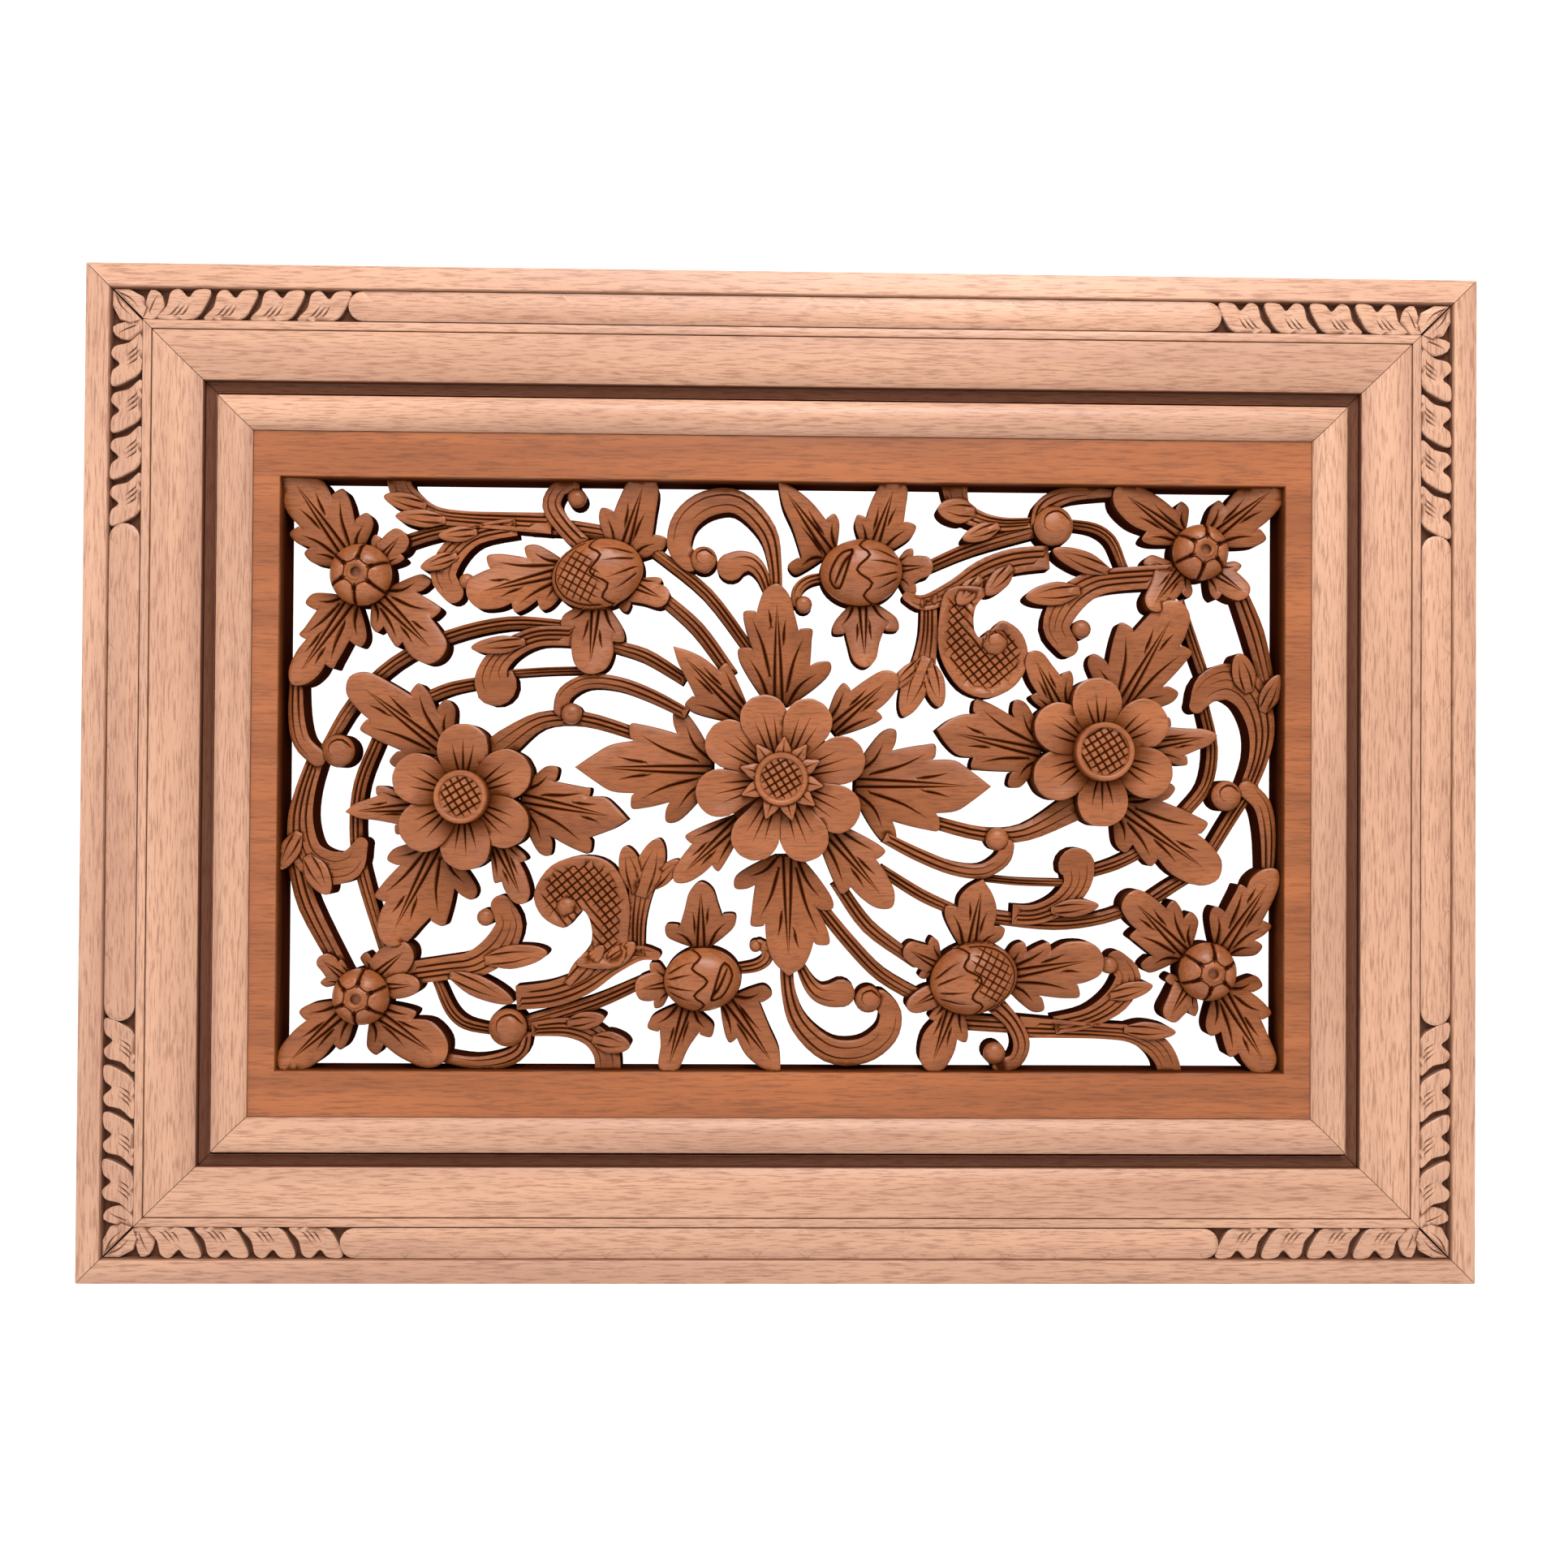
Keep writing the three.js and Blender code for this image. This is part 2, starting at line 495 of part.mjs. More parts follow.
// Commas with a hatched field inside a rim.
const commas = [
  [
    [84, 97], [79, 80], [80, 62], [90, 46], [104, 41], [118, 47], [125, 60], [122, 74], [112, 81],
    [106, 76], [100, 72], [97, 78], [98, 88], [104, 97],
  ],
  [
    [-83, -97], [-79, -80], [-79, -62], [-87, -46], [-101, -41], [-118, -46], [-127, -60], [-123, -72],
    [-112, -78], [-106, -73], [-102, -69], [-98, -76], [-98, -86], [-105, -97],
  ],
];

// Beads at the ends of the curls: [x, y, radius].
const curlBalls = [
  [-42, 111, 7], [44, -114, 7], [9.5, 88.5, 4.5], [-14, -87, 3.2], [-107, 142, 5], [109, -141.5, 5.8],
  [138, 130, 10.5], [-140, -129, 10], [-227, 11.5, 8.5], [228, -8.5, 8], [-109, 31.5, 5.5],
  [110, -31.5, 6], [108, 70, 7], [-110.5, -67.5, 5.5], [-163, 99, 4], [168, -96, 4.5], [153, 77, 5],
  [-152, -73, 4.5],
];

// Flowers: middle, radius of the disc, angles of the petals, reach and half width of a petal.
const flowers = [
  { middle: [-1.5, -1.5], disc: 13.5, angles: [18, 65, 106, 146, 193, 246, 292, 332], reach: 44,
    halfWidth: 12.5 },
  { middle: [-162.7, -11.5], disc: 13.5, angles: [90, 28, -32, -86, 218, 158], reach: 37, halfWidth: 13 },
  { middle: [162.5, 13.5], disc: 15, angles: [97, 35, -25, -90, 208, 151], reach: 38, halfWidth: 13 },
];
const starAngles = [86, 126, 164, 202, 249, 285, 322, 351, 26, 54];
// Berries: [x, y, radius].
const berries = [[-216.5, 101.5, 15.8], [214, 117, 14.5], [-214.5, -113.5, 14.5], [218.5, -99, 15]];
// Buds: x, y, half length, half width, angle of the open end.
const buds = [
  [-96, 103, 24, 18, 195], [98, -103, 23, 18.5, 15], [39, 105, 21.5, 17.5, 185],
  [-41, -104, 20, 16.5, 5],
];

// ---- The carved board ----

function block(width, height, from, to) {
  const geometry = new THREE.BoxGeometry(width, height, to - from);
  geometry.translate(0, 0, (from + to) / 2);
  return fromGeometry(geometry);
}

function flower({ middle, disc, angles, reach, halfWidth }) {
  const calyx = [[0.7 * reach, belowBack], [0.7 * reach, calyxLevels[0]], [0.5 * reach, calyxLevels[1]], [0, calyxLevels[1]]];
  const face = [[disc, belowBack], [disc, discLevels[0]], [disc - 2.5, discLevels[1]], [0, discLevels[0]]];
  const petals = angles.map((angle) => petal(middle, angle, reach, halfWidth));
  return [...petals, turned(...middle, calyx, 8), turned(...middle, face, 12)];
}

function carvedBoard() {
  const clear = 2 * (railWidth + fitGap);
  const marginClear = 2 * (beadEnd + fitGap);
  const frame = block(panelWidth - clear, panelHeight - clear, 0, rebateLevel)
    .add(block(panelWidth - marginClear, panelHeight - marginClear, 0, marginLevel))
    .subtract(block(openingWidth, openingHeight, -1, marginLevel + 1));
  const leaves = [centreLeaves, leftFlowerLeaves, rightFlowerLeaves, cornerBerryLeaves, budLeaves].flat();
  const forms = [
    ...leaves.map((values) => leaf(...values)),
    ...stems.map((points) => band(points, stemLevel, stemTuck)),
    ...curls.map((points) => band(points, curlLevel)),
    ...commas.map(comma),
    ...curlBalls.map(([x, y, radius]) => dome(x, y, radius, ballWall, ballLevel + radius * 0.45, 6, 2)),
    ...flowers.flatMap(flower),
    ...starAngles.map((angle) => starRay(flowers[0].middle, angle)),
    ...berries.map((values) => berry(...values)),
  ];
  scrolls.forEach(([points, leaflets]) => {
    forms.push(band(points, scrollLevel));
    leaflets.forEach(([base, tip, width]) => forms.push(leaf(base, tip, width, 0.2, [], [], leafletLevels)));
  });
  buds.forEach(([x, y, length, width, angle]) => {
    forms.push(dome(x, y, length, ...budLevels, 10, 3, length / width, angle));
  });
  return frame.add(joinAll(forms)).intersect(block(panelWidth, panelHeight, 0, railDepth));
}

// ---- Rails and bead ----

// A mitred length of moulding: x along it, its outer edge at y = 0 and its width towards -y.
// The section is [distance from the outer edge, height], from the back up and over the front.
function mouldingLength(section, halfLength) {
  const slack = fitGap / Math.SQRT2;
  const profile = section.slice().reverse();
  const count = profile.length;
  const ends = [-1, 1].map((side) => profile.map(([u, z]) => [side * (halfLength - u - slack), -u, z]));
  const triangles = [];
  for (let i = 0; i < count; i++) {
    const next = (i + 1) % count;
    triangles.push([i, count + i, count + next], [i, count + next, next]);
  }
  fill(profile).forEach(([a, b, c]) => triangles.push([a, b, c], [count + a, count + c, count + b]));
  return toSolid(ends.flat(), triangles);
}

const railProfile = [
  [0, 0], [0, 29.2], [0.8, 30], [11.5, 30], [12.1, 28.3], [ornamentStart, ornamentGround],
  [ornamentEnd, ornamentGround], [27.8, 28.6], [28.5, 28.9], [32, 28.9], [32.4, 27.9], [32.8, 28.6],
  [40, 28.6], [50, 27], [56.5, 24], [56.5, 20], [railWidth, 20], [railWidth, 0],
];
const beadProfile = [
  [beadStart, rebateLevel + fitGap], [beadStart, 24], [66, 26.2], [70, 27.3], [75, 26.8],
  [79, 24.8], [beadEnd, 22.6], [beadEnd, rebateLevel + fitGap],
];

// The ornament's leaflets, as [distance along the rail, distance from its outer edge].
// A heart's distance along the rail is from its own root, and the others' from the panel's corner.
const heartOutline = [
  [-3, 27.6], [1.5, 21], [3.5, 14.2], [8, 12.3], [12.2, 16.2], [16, 12.8], [23.4, 12.9], [21, 20.5], [14.5, 27.6],
];
const cornerLeafOutline = [[13.3, 13], [21, 12.8], [28, 16.5], [30, 22], [27.3, 27]];
const sideLeafletOutline = [[27.6, 27], [29.2, 18.5], [31.5, 12.9], [36, 14.2], [38.3, 20], [37, 27.4]];

// The carved leaflets at one end of a rail, on its side -1 or 1.
function ornamentArm(halfLength, side) {
  const form = (outline, level) => {
    const points = outline.map(([distance, down]) => [side * (halfLength - distance), -down, level]);
    if (THREE.ShapeUtils.area(points.map(([x, y]) => new THREE.Vector2(x, y))) < 0) points.reverse();
    return carvedForm(points, [], undefined, ornamentGround - ornamentRoot);
  };
  const slack = fitGap / Math.SQRT2;
  const corner = cornerLeafOutline.map(([distance, down]) => [Math.max(distance, down + slack), down]);
  const forms = [form(corner, ornamentLevel), form(sideLeafletOutline, ornamentLevel - ornamentSteps.leaflet)];
  for (let i = 0; i < heartsPerArm; i++) {
    const root = firstHeart + i * heartPitch;
    const heart = heartOutline.map(([along, down]) => [root + along, down]);
    forms.push(form(heart, ornamentLevel - ornamentSteps.heart * (i % 2)));
  }
  return joinAll(forms);
}

// The long convex bar between the two ends, with round ends of its own.
function ornamentBar(halfLength) {
  const reach = halfLength - barStart;
  const middle = (ornamentStart + ornamentEnd) / 2;
  const round = (ornamentEnd - ornamentStart) / 2 + 0.4;
  const [edgeLevel, spineLevel] = barLevels;
  const points = [];
  for (const side of [1, -1]) {
    for (let i = 0; i <= 3; i++) {
      const turn = (-0.5 + i / 3) * Math.PI;
      const x = side * (reach - round + round * Math.cos(turn));
      points.push([x, -middle + side * round * Math.sin(turn), edgeLevel]);
    }
  }
  const inside = [[reach - round, -middle, spineLevel], [round - reach, -middle, spineLevel]];
  const count = points.length;
  const triangles = [];
  for (let i = 0; i < count; i++) {
    const next = (i + 1) % count;
    triangles.push([i, next, i < count / 2 ? count : count + 1]);
    if (i === count / 2 - 1) triangles.push([next, count + 1, count]);
    if (i === count - 1) triangles.push([next, count, count + 1]);
  }
  return carvedForm(points, inside, triangles, ornamentGround - ornamentRoot);
}

function rail(halfLength) {
  const ornament = [ornamentArm(halfLength, 1), ornamentArm(halfLength, -1), ornamentBar(halfLength)];
  return mouldingLength(railProfile, halfLength).add(joinAll(ornament));
}

// ---- The panel ----

const railWood = new THREE.MeshStandardMaterial({ color: 0xd9ab86, roughness: 0.5, metalness: 0 });
const carvedWood = new THREE.MeshStandardMaterial({ color: 0xb9784d, roughness: 0.45, metalness: 0 });
const beadWood = new THREE.MeshStandardMaterial({ color: 0xd2a07e, roughness: 0.5, metalness: 0 });

const panel = new THREE.Group();
panel.rotation.x = Math.PI / 2;
panel.position.z = -hangHeight;

// Adds a piece, turned about the panel's middle and moved out by distance.
function addMesh(name, solid, material, distance = 0, turn = 0) {
  const mesh = new THREE.Mesh(toGeometry(solid), material);
  mesh.name = name;
  mesh.rotation.z = turn;
  mesh.position.set(-Math.sin(turn) * distance, Math.cos(turn) * distance, 0);
  panel.add(mesh);
}

addMesh('carved_panel', carvedBoard(), carvedWood);
const sides = [
  ['top', 'rail', panelWidth / 2, panelHeight / 2, 0],
  ['left', 'stile', panelHeight / 2, panelWidth / 2, Math.PI / 2],
  ['bottom', 'rail', panelWidth / 2, panelHeight / 2, Math.PI],
  ['right', 'stile', panelHeight / 2, panelWidth / 2, -Math.PI / 2],
];
for (const [side, kind, halfLength, distance, turn] of sides) {
  addMesh(`${side}_${kind}`, rail(halfLength), railWood, distance, turn);
  addMesh(`${side}_bead`, mouldingLength(beadProfile, halfLength), beadWood, distance, turn);
}

export default panel;
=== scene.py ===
import math

import bpy
import numpy as np
from mathutils import Matrix, Vector, geometry, kdtree


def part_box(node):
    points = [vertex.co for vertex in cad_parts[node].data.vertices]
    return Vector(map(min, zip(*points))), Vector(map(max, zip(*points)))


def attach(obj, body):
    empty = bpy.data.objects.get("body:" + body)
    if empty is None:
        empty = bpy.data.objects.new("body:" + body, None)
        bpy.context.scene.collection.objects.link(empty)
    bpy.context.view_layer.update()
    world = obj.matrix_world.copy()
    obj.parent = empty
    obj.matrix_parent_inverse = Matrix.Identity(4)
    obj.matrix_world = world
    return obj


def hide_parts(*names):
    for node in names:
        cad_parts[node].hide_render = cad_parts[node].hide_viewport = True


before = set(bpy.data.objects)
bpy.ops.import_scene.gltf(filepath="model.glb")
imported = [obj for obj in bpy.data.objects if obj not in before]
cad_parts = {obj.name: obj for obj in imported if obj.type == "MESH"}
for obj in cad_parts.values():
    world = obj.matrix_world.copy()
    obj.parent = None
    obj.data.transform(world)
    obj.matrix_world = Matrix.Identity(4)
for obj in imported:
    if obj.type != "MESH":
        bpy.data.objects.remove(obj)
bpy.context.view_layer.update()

# The relief is laid out in millimetres from the panel's middle: x to the right, y up, z out of the wall.
mm = 0.001
boxes = [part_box(node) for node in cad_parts]
cadLow = [min(low[k] for low, high in boxes) for k in range(3)]
cadHigh = [max(high[k] for low, high in boxes) for k in range(3)]
panelWidth = (cadHigh[0] - cadLow[0]) / mm
panelHeight = (cadHigh[2] - cadLow[2]) / mm
middleHeight = (cadHigh[2] + cadLow[2]) / 2
railDepth = -cadLow[1] / mm


def toRow(points):
    return [(x * mm, -z * mm, y * mm + middleHeight) for x, y, z in points]


# lines and distances in the plane of the panel


def spline(points, steps, closed=False):
    knots = np.array(points, float)
    count = len(knots)
    spans = count if closed else count - 1
    shares = np.arange(steps) / steps
    made = []
    for i in range(spans):
        if closed:
            a, b, c, d = (knots[(i + k - 1) % count] for k in range(4))
        else:
            a, b, c, d = (knots[min(max(i + k - 1, 0), count - 1)] for k in range(4))
        for t in shares:
            made.append(0.5 * (2 * b + (c - a) * t + (2 * a - 5 * b + 4 * c - d) * t**2
                               + (3 * b - a - 3 * c + d) * t**3))
    if not closed:
        made.append(knots[-1])
    return np.array(made)


def evenly(points, step):
    # the same line with its points about step apart
    line = np.array(points, float)
    lengths = np.r_[0, np.cumsum(np.linalg.norm(np.diff(line, axis=0), axis=1))]
    count = max(2, int(round(lengths[-1] / step)) + 1)
    at = np.linspace(0, lengths[-1], count)
    return np.stack([np.interp(at, lengths, line[:, k]) for k in range(line.shape[1])], -1)


def alongLine(points, line):
    # for each point: distance to the line, share of the line's length, and the side (+ left)
    start, end = line[:-1], line[1:]
    step = end - start
    size = np.maximum((step**2).sum(1), 1e-12)
    away = points[:, None, :] - start[None]
    t = np.clip((away * step[None]).sum(2) / size, 0, 1)
    gap = away - t[..., None] * step[None]
    distance = np.sqrt((gap**2).sum(2))
    best = distance.argmin(1)
    rows = np.arange(len(points))
    lengths = np.sqrt(size)
    before = np.r_[0, np.cumsum(lengths)]
    share = (before[best] + t[rows, best] * lengths[best]) / before[-1]
    side = np.sign(step[best, 0] * away[rows, best, 1] - step[best, 1] * away[rows, best, 0])
    return distance[rows, best], share, side


def insidePolygon(points, loop):
    # by winding number, so a loop that folds over itself at a notch still counts as one area
    x, y = points[:, 0][:, None], points[:, 1][:, None]
    ax, ay = loop[:, 0][None], loop[:, 1][None]
    bx, by = np.roll(loop[:, 0], -1)[None], np.roll(loop[:, 1], -1)[None]
    crosses = (ay > y) != (by > y)
    with np.errstate(divide="ignore", invalid="ignore"):
        at = (bx - ax) * (y - ay) / (by - ay) + ax
    return (np.where(by > ay, 1, -1) * (crosses & (x < at))).sum(1) > 0


# grooves, and forms carved with them


def groove(points, halfWidth=0.85, depth=1.1, blunt=0.35, fine=0.0):
    # a V cut along a line; blunt and fine are its share of full size at the start and at the end
    return {"line": np.array(points, float), "width": halfWidth, "depth": depth, "blunt": blunt, "fine": fine}


def grooveSize(cut, share):
    swell = cut["blunt"] + (1 - cut["blunt"]) * np.clip(share / 0.15, 0, 1)
    fade = cut["fine"] + (1 - cut["fine"]) * np.clip((1 - share) / 0.65, 0, 1) ** 0.8
    return swell * fade


def grooveDepth(points, cuts):
    deepest = np.zeros(len(points))
    for cut in cuts:
        distance, share, side = alongLine(points, cut["line"])
        size = np.maximum(grooveSize(cut, share), 1e-3)
        reach = np.clip(1 - distance / (cut["width"] * size), 0, 1)
        deepest = np.maximum(deepest, cut["depth"] * size * reach)
    return deepest


def carve(
    outline, level, cuts=(), guides=(), spacing=3.4, rounding=0.6, rings=(0.5, 1.3), floor=-2.0, shade=None
):
    # a form with straight walls below its outline and a carved top, down to floor
    # returns its points, its triangles and how dark each point is, from stain and painted shade
    loop = np.array(outline, float)
    loop = loop[np.linalg.norm(loop - np.roll(loop, 1, 0), axis=1) > 0.15]
    count = len(loop)
    closed = np.vstack([loop, loop[:1]])
    heading = np.roll(loop, -1, 0) - np.roll(loop, 1, 0)
    heading /= np.maximum(np.linalg.norm(heading, axis=1), 1e-9)[:, None]
    inward = np.stack([-heading[:, 1], heading[:, 0]], 1)
    points = [loop]
    edges = [(i, (i + 1) % count) for i in range(count)]
    total = count
    lines = []
    for cut in cuts:
        cut["line"] = evenly(cut["line"], 2.6)
        line = cut["line"]
        share = np.linspace(0, 1, len(line))
        along = np.gradient(line, axis=0)
        along /= np.maximum(np.linalg.norm(along, axis=1), 1e-9)[:, None]
        left = np.stack([-along[:, 1], along[:, 0]], 1)
        across = left * (cut["width"] * np.maximum(grooveSize(cut, share), 0.12))[:, None]
        lines += [line, line + across, line - across]
    lines += [np.array(guide, float) for guide in guides]
    for line in lines:
        keep = insidePolygon(line, loop) & (alongLine(line, closed)[0] > 0.35)
        previous = -1
        for point, kept in zip(line, keep):
            if kept:
                points.append(point[None])
                if previous >= 0:
                    edges.append((previous, total))
                previous = total
                total += 1
            else:
                previous = -1
    fixed = np.vstack(points)
    extra = []
    for inset in rings:
        ring = loop + inward * inset
        extra.append(ring[insidePolygon(ring, loop) & (alongLine(ring, closed)[0] > 0.8 * inset)])
    low, high = loop.min(0), loop.max(0)
    rows = np.arange(low[1], high[1], spacing * 0.866)
    for k, y in enumerate(rows):
        xs = np.arange(low[0] + (k % 2) * spacing / 2, high[0], spacing)
        if len(xs):
            extra.append(np.stack([xs, np.full(len(xs), y)], 1))
    free = np.vstack(extra)
    free = free[insidePolygon(free, loop)]
    away = alongLine(free, closed)[0]
    isGrid = np.ones(len(free), bool)
    isGrid[: sum(len(e) for e in extra[: len(rings)])] = False
    keep = (away > rings[-1] + 0.35 * spacing) | ~isGrid[: len(free)]
    if len(fixed) > count:
        gap = np.sqrt(((free[:, None] - fixed[None, count:]) ** 2).sum(2)).min(1)
        keep &= gap > np.where(isGrid[: len(free)], 0.42 * spacing, 0.45)
    free = free[keep]
    every = [Vector(p) for p in np.vstack([fixed, free])]
    found = geometry.delaunay_2d_cdt(every, edges, [], 0, 0.02)
    flat = np.array([[v.x, v.y] for v in found[0]])
    faces = np.array([list(f) for f in found[2]])
    middles = flat[faces].mean(1)
    faces = faces[insidePolygon(middles, loop)]
    a, b, c = (flat[faces[:, k]] for k in range(3))
    turned = (b[:, 0] - a[:, 0]) * (c[:, 1] - a[:, 1]) - (b[:, 1] - a[:, 1]) * (c[:, 0] - a[:, 0])
    faces[turned < 0] = faces[turned < 0][:, ::-1]
    faces = faces[np.abs(turned) > 1e-7]
    used = np.unique(faces)
    renumber = np.full(len(flat), -1)
    renumber[used] = np.arange(len(used))
    flat, faces = flat[used], renumber[faces]
    edge = np.clip(1 - alongLine(flat, closed)[0] / (rings[-1] * 0.9), 0, 1) ** 2
    cutDepth = grooveDepth(flat, cuts)
    z = level(flat) - rounding * edge - cutDepth
    pairs = np.vstack([faces[:, [0, 1]], faces[:, [1, 2]], faces[:, [2, 0]]])
    seen = {(int(p), int(q)) for p, q in pairs}
    rim = [(p, q) for p, q in seen if (q, p) not in seen]
    count = len(flat)
    walls = []
    for p, q in rim:
        walls += [(p, p + count, q + count), (p, q + count, q)]
    top = [tuple(int(i) for i in face) for face in faces]
    under = [(c + count, b + count, a + count) for a, b, c in top]
    spots = np.vstack([np.c_[flat, z], np.c_[flat, np.full(count, floor)]])
    # how dark each point is: deep in a cut and where the shade function says, stain and painted shade together
    shaded = shade(flat) if shade else 0
    stainAndShade = np.r_[np.maximum(np.clip(cutDepth / 0.9, 0, 1), shaded), np.zeros(count)]
    return spots, top + walls + under, stainAndShade


# leaves: base, tip, half width near the tip, how pointed, and the lobes on the left and on the right,
# each as [share of the way to the tip, reach from the midrib]
centreLeaves = [
    [[-3, 36], [-4.5, 98.5], 9, 0.35, [[0.48, 20], [0.78, 17]], [[0.36, 27], [0.63, 18]]],
    [[-20, 30], [-57, 66], 7, 0.8, [[0.52, 17]], [[0.52, 13]]],
    [[-36, 3], [-106.5, 4], 12, 1, [[0.34, 27], [0.59, 20.5]], [[0.3, 30], [0.61, 23]]],
    [[-22, -22], [-55.5, -54], 7, 0.3, [[0.58, 11.5]], [[0.58, 13]]],
    [[2, -40], [3, -101.5], 11, 0.5, [[0.46, 23], [0.75, 21]], [[0.28, 27], [0.59, 19]]],
    [[20, -25], [55.5, -66.5], 9, 0.3, [[0.57, 16]], [[0.61, 15]]],
    [[36, -3], [106, -4.5], 13, 1, [[0.3, 28], [0.59, 21]], [[0.32, 31], [0.63, 23.5]]],
    [[24, 24], [57, 53], 8, 0.1, [[0.48, 14]], [[0.55, 12.5]]],
]

leftFlowerLeaves = [
    [[-174, 12], [-221, 49], 10.5, 0.1, [[0.31, 22], [0.67, 18]], [[0.27, 21], [0.53, 19]]],
    [[-188, -17], [-222.5, -19.5], 5.5, 0.6, [[0.32, 13]], [[0.55, 12]]],
    [[-177, -36], [-201, -87], 10.5, 0.2, [[0.32, 28], [0.64, 21]], [[0.32, 20], [0.66, 17]]],
    [[-147, -34], [-131.5, -65.5], 6.5, 0.1, [[0.43, 10]], [[0.55, 9.5]]],
    [[-135, -12], [-79.5, -22.5], 9, 0.9, [[0.28, 19], [0.61, 12]], [[0.36, 26], [0.71, 21]]],
]

rightFlowerLeaves = [
    [[173, 36], [203, 91], 11, 0.1, [[0.3, 25.5], [0.63, 21]], [[0.36, 23], [0.7, 18.5]]],
    [[143, 34], [126, 65], 7, 0.1, [[0.42, 10]], [[0.48, 14]]],
    [[133, 13], [78, 24.5], 10.5, 0.8, [[0.235, 20], [0.61, 15.5]], [[0.34, 24], [0.7, 20]]],
    [[188, 17], [222, 22.5], 6, 0.4, [[0.38, 13]], [[0.53, 12.5]]],
    [[174, -15], [223, -51], 12, 0.1, [[0.28, 25.5], [0.67, 20.5]], [[0.26, 17], [0.5, 15]]],
]

cornerBerryLeaves = [
    [[-223, 109], [-254, 154], 12, 0.3, [[0.3, 17], [0.52, 17.5]], [[0.29, 21], [0.59, 18]]],
    [[-209, 108], [-194, 123], 6.5, 0, [[0.46, 10.5]], [[0.55, 8.5]]],
    [[-222, 89], [-250, 45], 8, 0.3, [[0.34, 17], [0.66, 12]], [[0.27, 19], [0.56, 12]]],
    [[-208, 91], [-175, 59], 10, 0, [[0.29, 24], [0.6, 17.5]], [[0.27, 14], [0.55, 12]]],
    [[205, 126], [169, 149], 10, 0.1, [[0.38, 13]], [[0.23, 15]]],
    [[221, 125], [255, 153], 11, 0.1, [[0.34, 13]], [[0.49, 18]]],
    [[205, 109], [187, 87], 7.5, 0.1, [[0.34, 12.5]], [[0.36, 17]]],
    [[221, 108], [238, 94.5], 6.5, 0.1, [[0.46, 11.5]], [[0.5, 10.5]]],
    [[-209, -104], [-189, -87.5], 9, 0, [[0.2, 12.5]], []],
    [[-207, -109], [-184, -107], 6.5, 0, [], []],
    [[-223, -105], [-235, -93], 5, 0, [[0.45, 10]], [[0.5, 6]]],
    [[-222, -120], [-254, -150], 10, 0.1, [[0.38, 13]], [[0.43, 15.5]]],
    [[-208, -122], [-171, -145], 12, 0.1, [[0.41, 11.5]], [[0.28, 18]]],
    [[208, -90], [176, -59.5], 9, 0, [[0.28, 20.5], [0.62, 14]], [[0.29, 17.5], [0.54, 15.5]]],
    [[227, -89], [253, -46], 8, 0.3, [[0.36, 15.5], [0.68, 11]], [[0.27, 16.5], [0.49, 14.5]]],
    [[227, -109], [250, -150], 9, 0, [[0.18, 20], [0.48, 16.5]], [[0.375, 16.5], [0.665, 13.5]]],
    [[210, -106], [197, -123.5], 6, 0, [[0.53, 11.5]], [[0.25, 11.5]]],
]

budLeaves = [
    [[-112, 105], [-162, 91], 10, 0, [[0.35, 16], [0.6, 14]], [[0.34, 17.5], [0.72, 17.5]]],
    [[-84, 112], [-71, 154], 10, 0, [[0.48, 17.5]], [[0.37, 19]]],
    [[-78, 98], [-60, 89], 6.5, 0, [[0.6, 9]], [[0.15, 14]]],
    [[-97, 88], [-99.5, 51.5], 11, 0.1, [[0.5, 15.5]], [[0.36, 17]]],
    [[114, -102], [164, -91.5], 11, 0, [[0.27, 15], [0.51, 12.5]], [[0.33, 21.5], [0.7, 18]]],
    [[97, -88], [102, -52], 10, 0.7, [[0.55, 16]], [[0.36, 15.5]]],
    [[80, -97], [62, -87], 6, 0, [[0.3, 9.5]], [[0.5, 11.5]]],
    [[88, -116], [75, -150], 9, 0, [[0.45, 13]], [[0.32, 9]]],
    [[84, -109], [63.5, -118], 6, 0, [], []],
    [[23, 115], [-4, 151], 8, 0.7, [[0.18, 21]], [[0.34, 14]]],
    [[45, 116], [57, 153], 9, 0, [[0.4, 13.5]], [[0.51, 17]]],
    [[57, 107], [75.5, 108.5], 6, 0, [[0.5, 10]], [[0.5, 13]]],
    [[40, 91], [41, 56], 8, 0.2, [[0.45, 18]], [[0.48, 15.5]]],
    [[-42, -88], [-42, -54], 8.5, 0.3, [[0.34, 18]], [[0.5, 17.5]]],
    [[-58, -107], [-75, -109], 7, 0, [[0.5, 11]], [[0.5, 12]]],
    [[-49, -118], [-59, -152], 7, 0, [[0.33, 16.5]], [[0.46, 16]]],
    [[-28, -115], [-1, -151], 9, 0.5, [[0.25, 20]], [[0.4, 12]]],
]

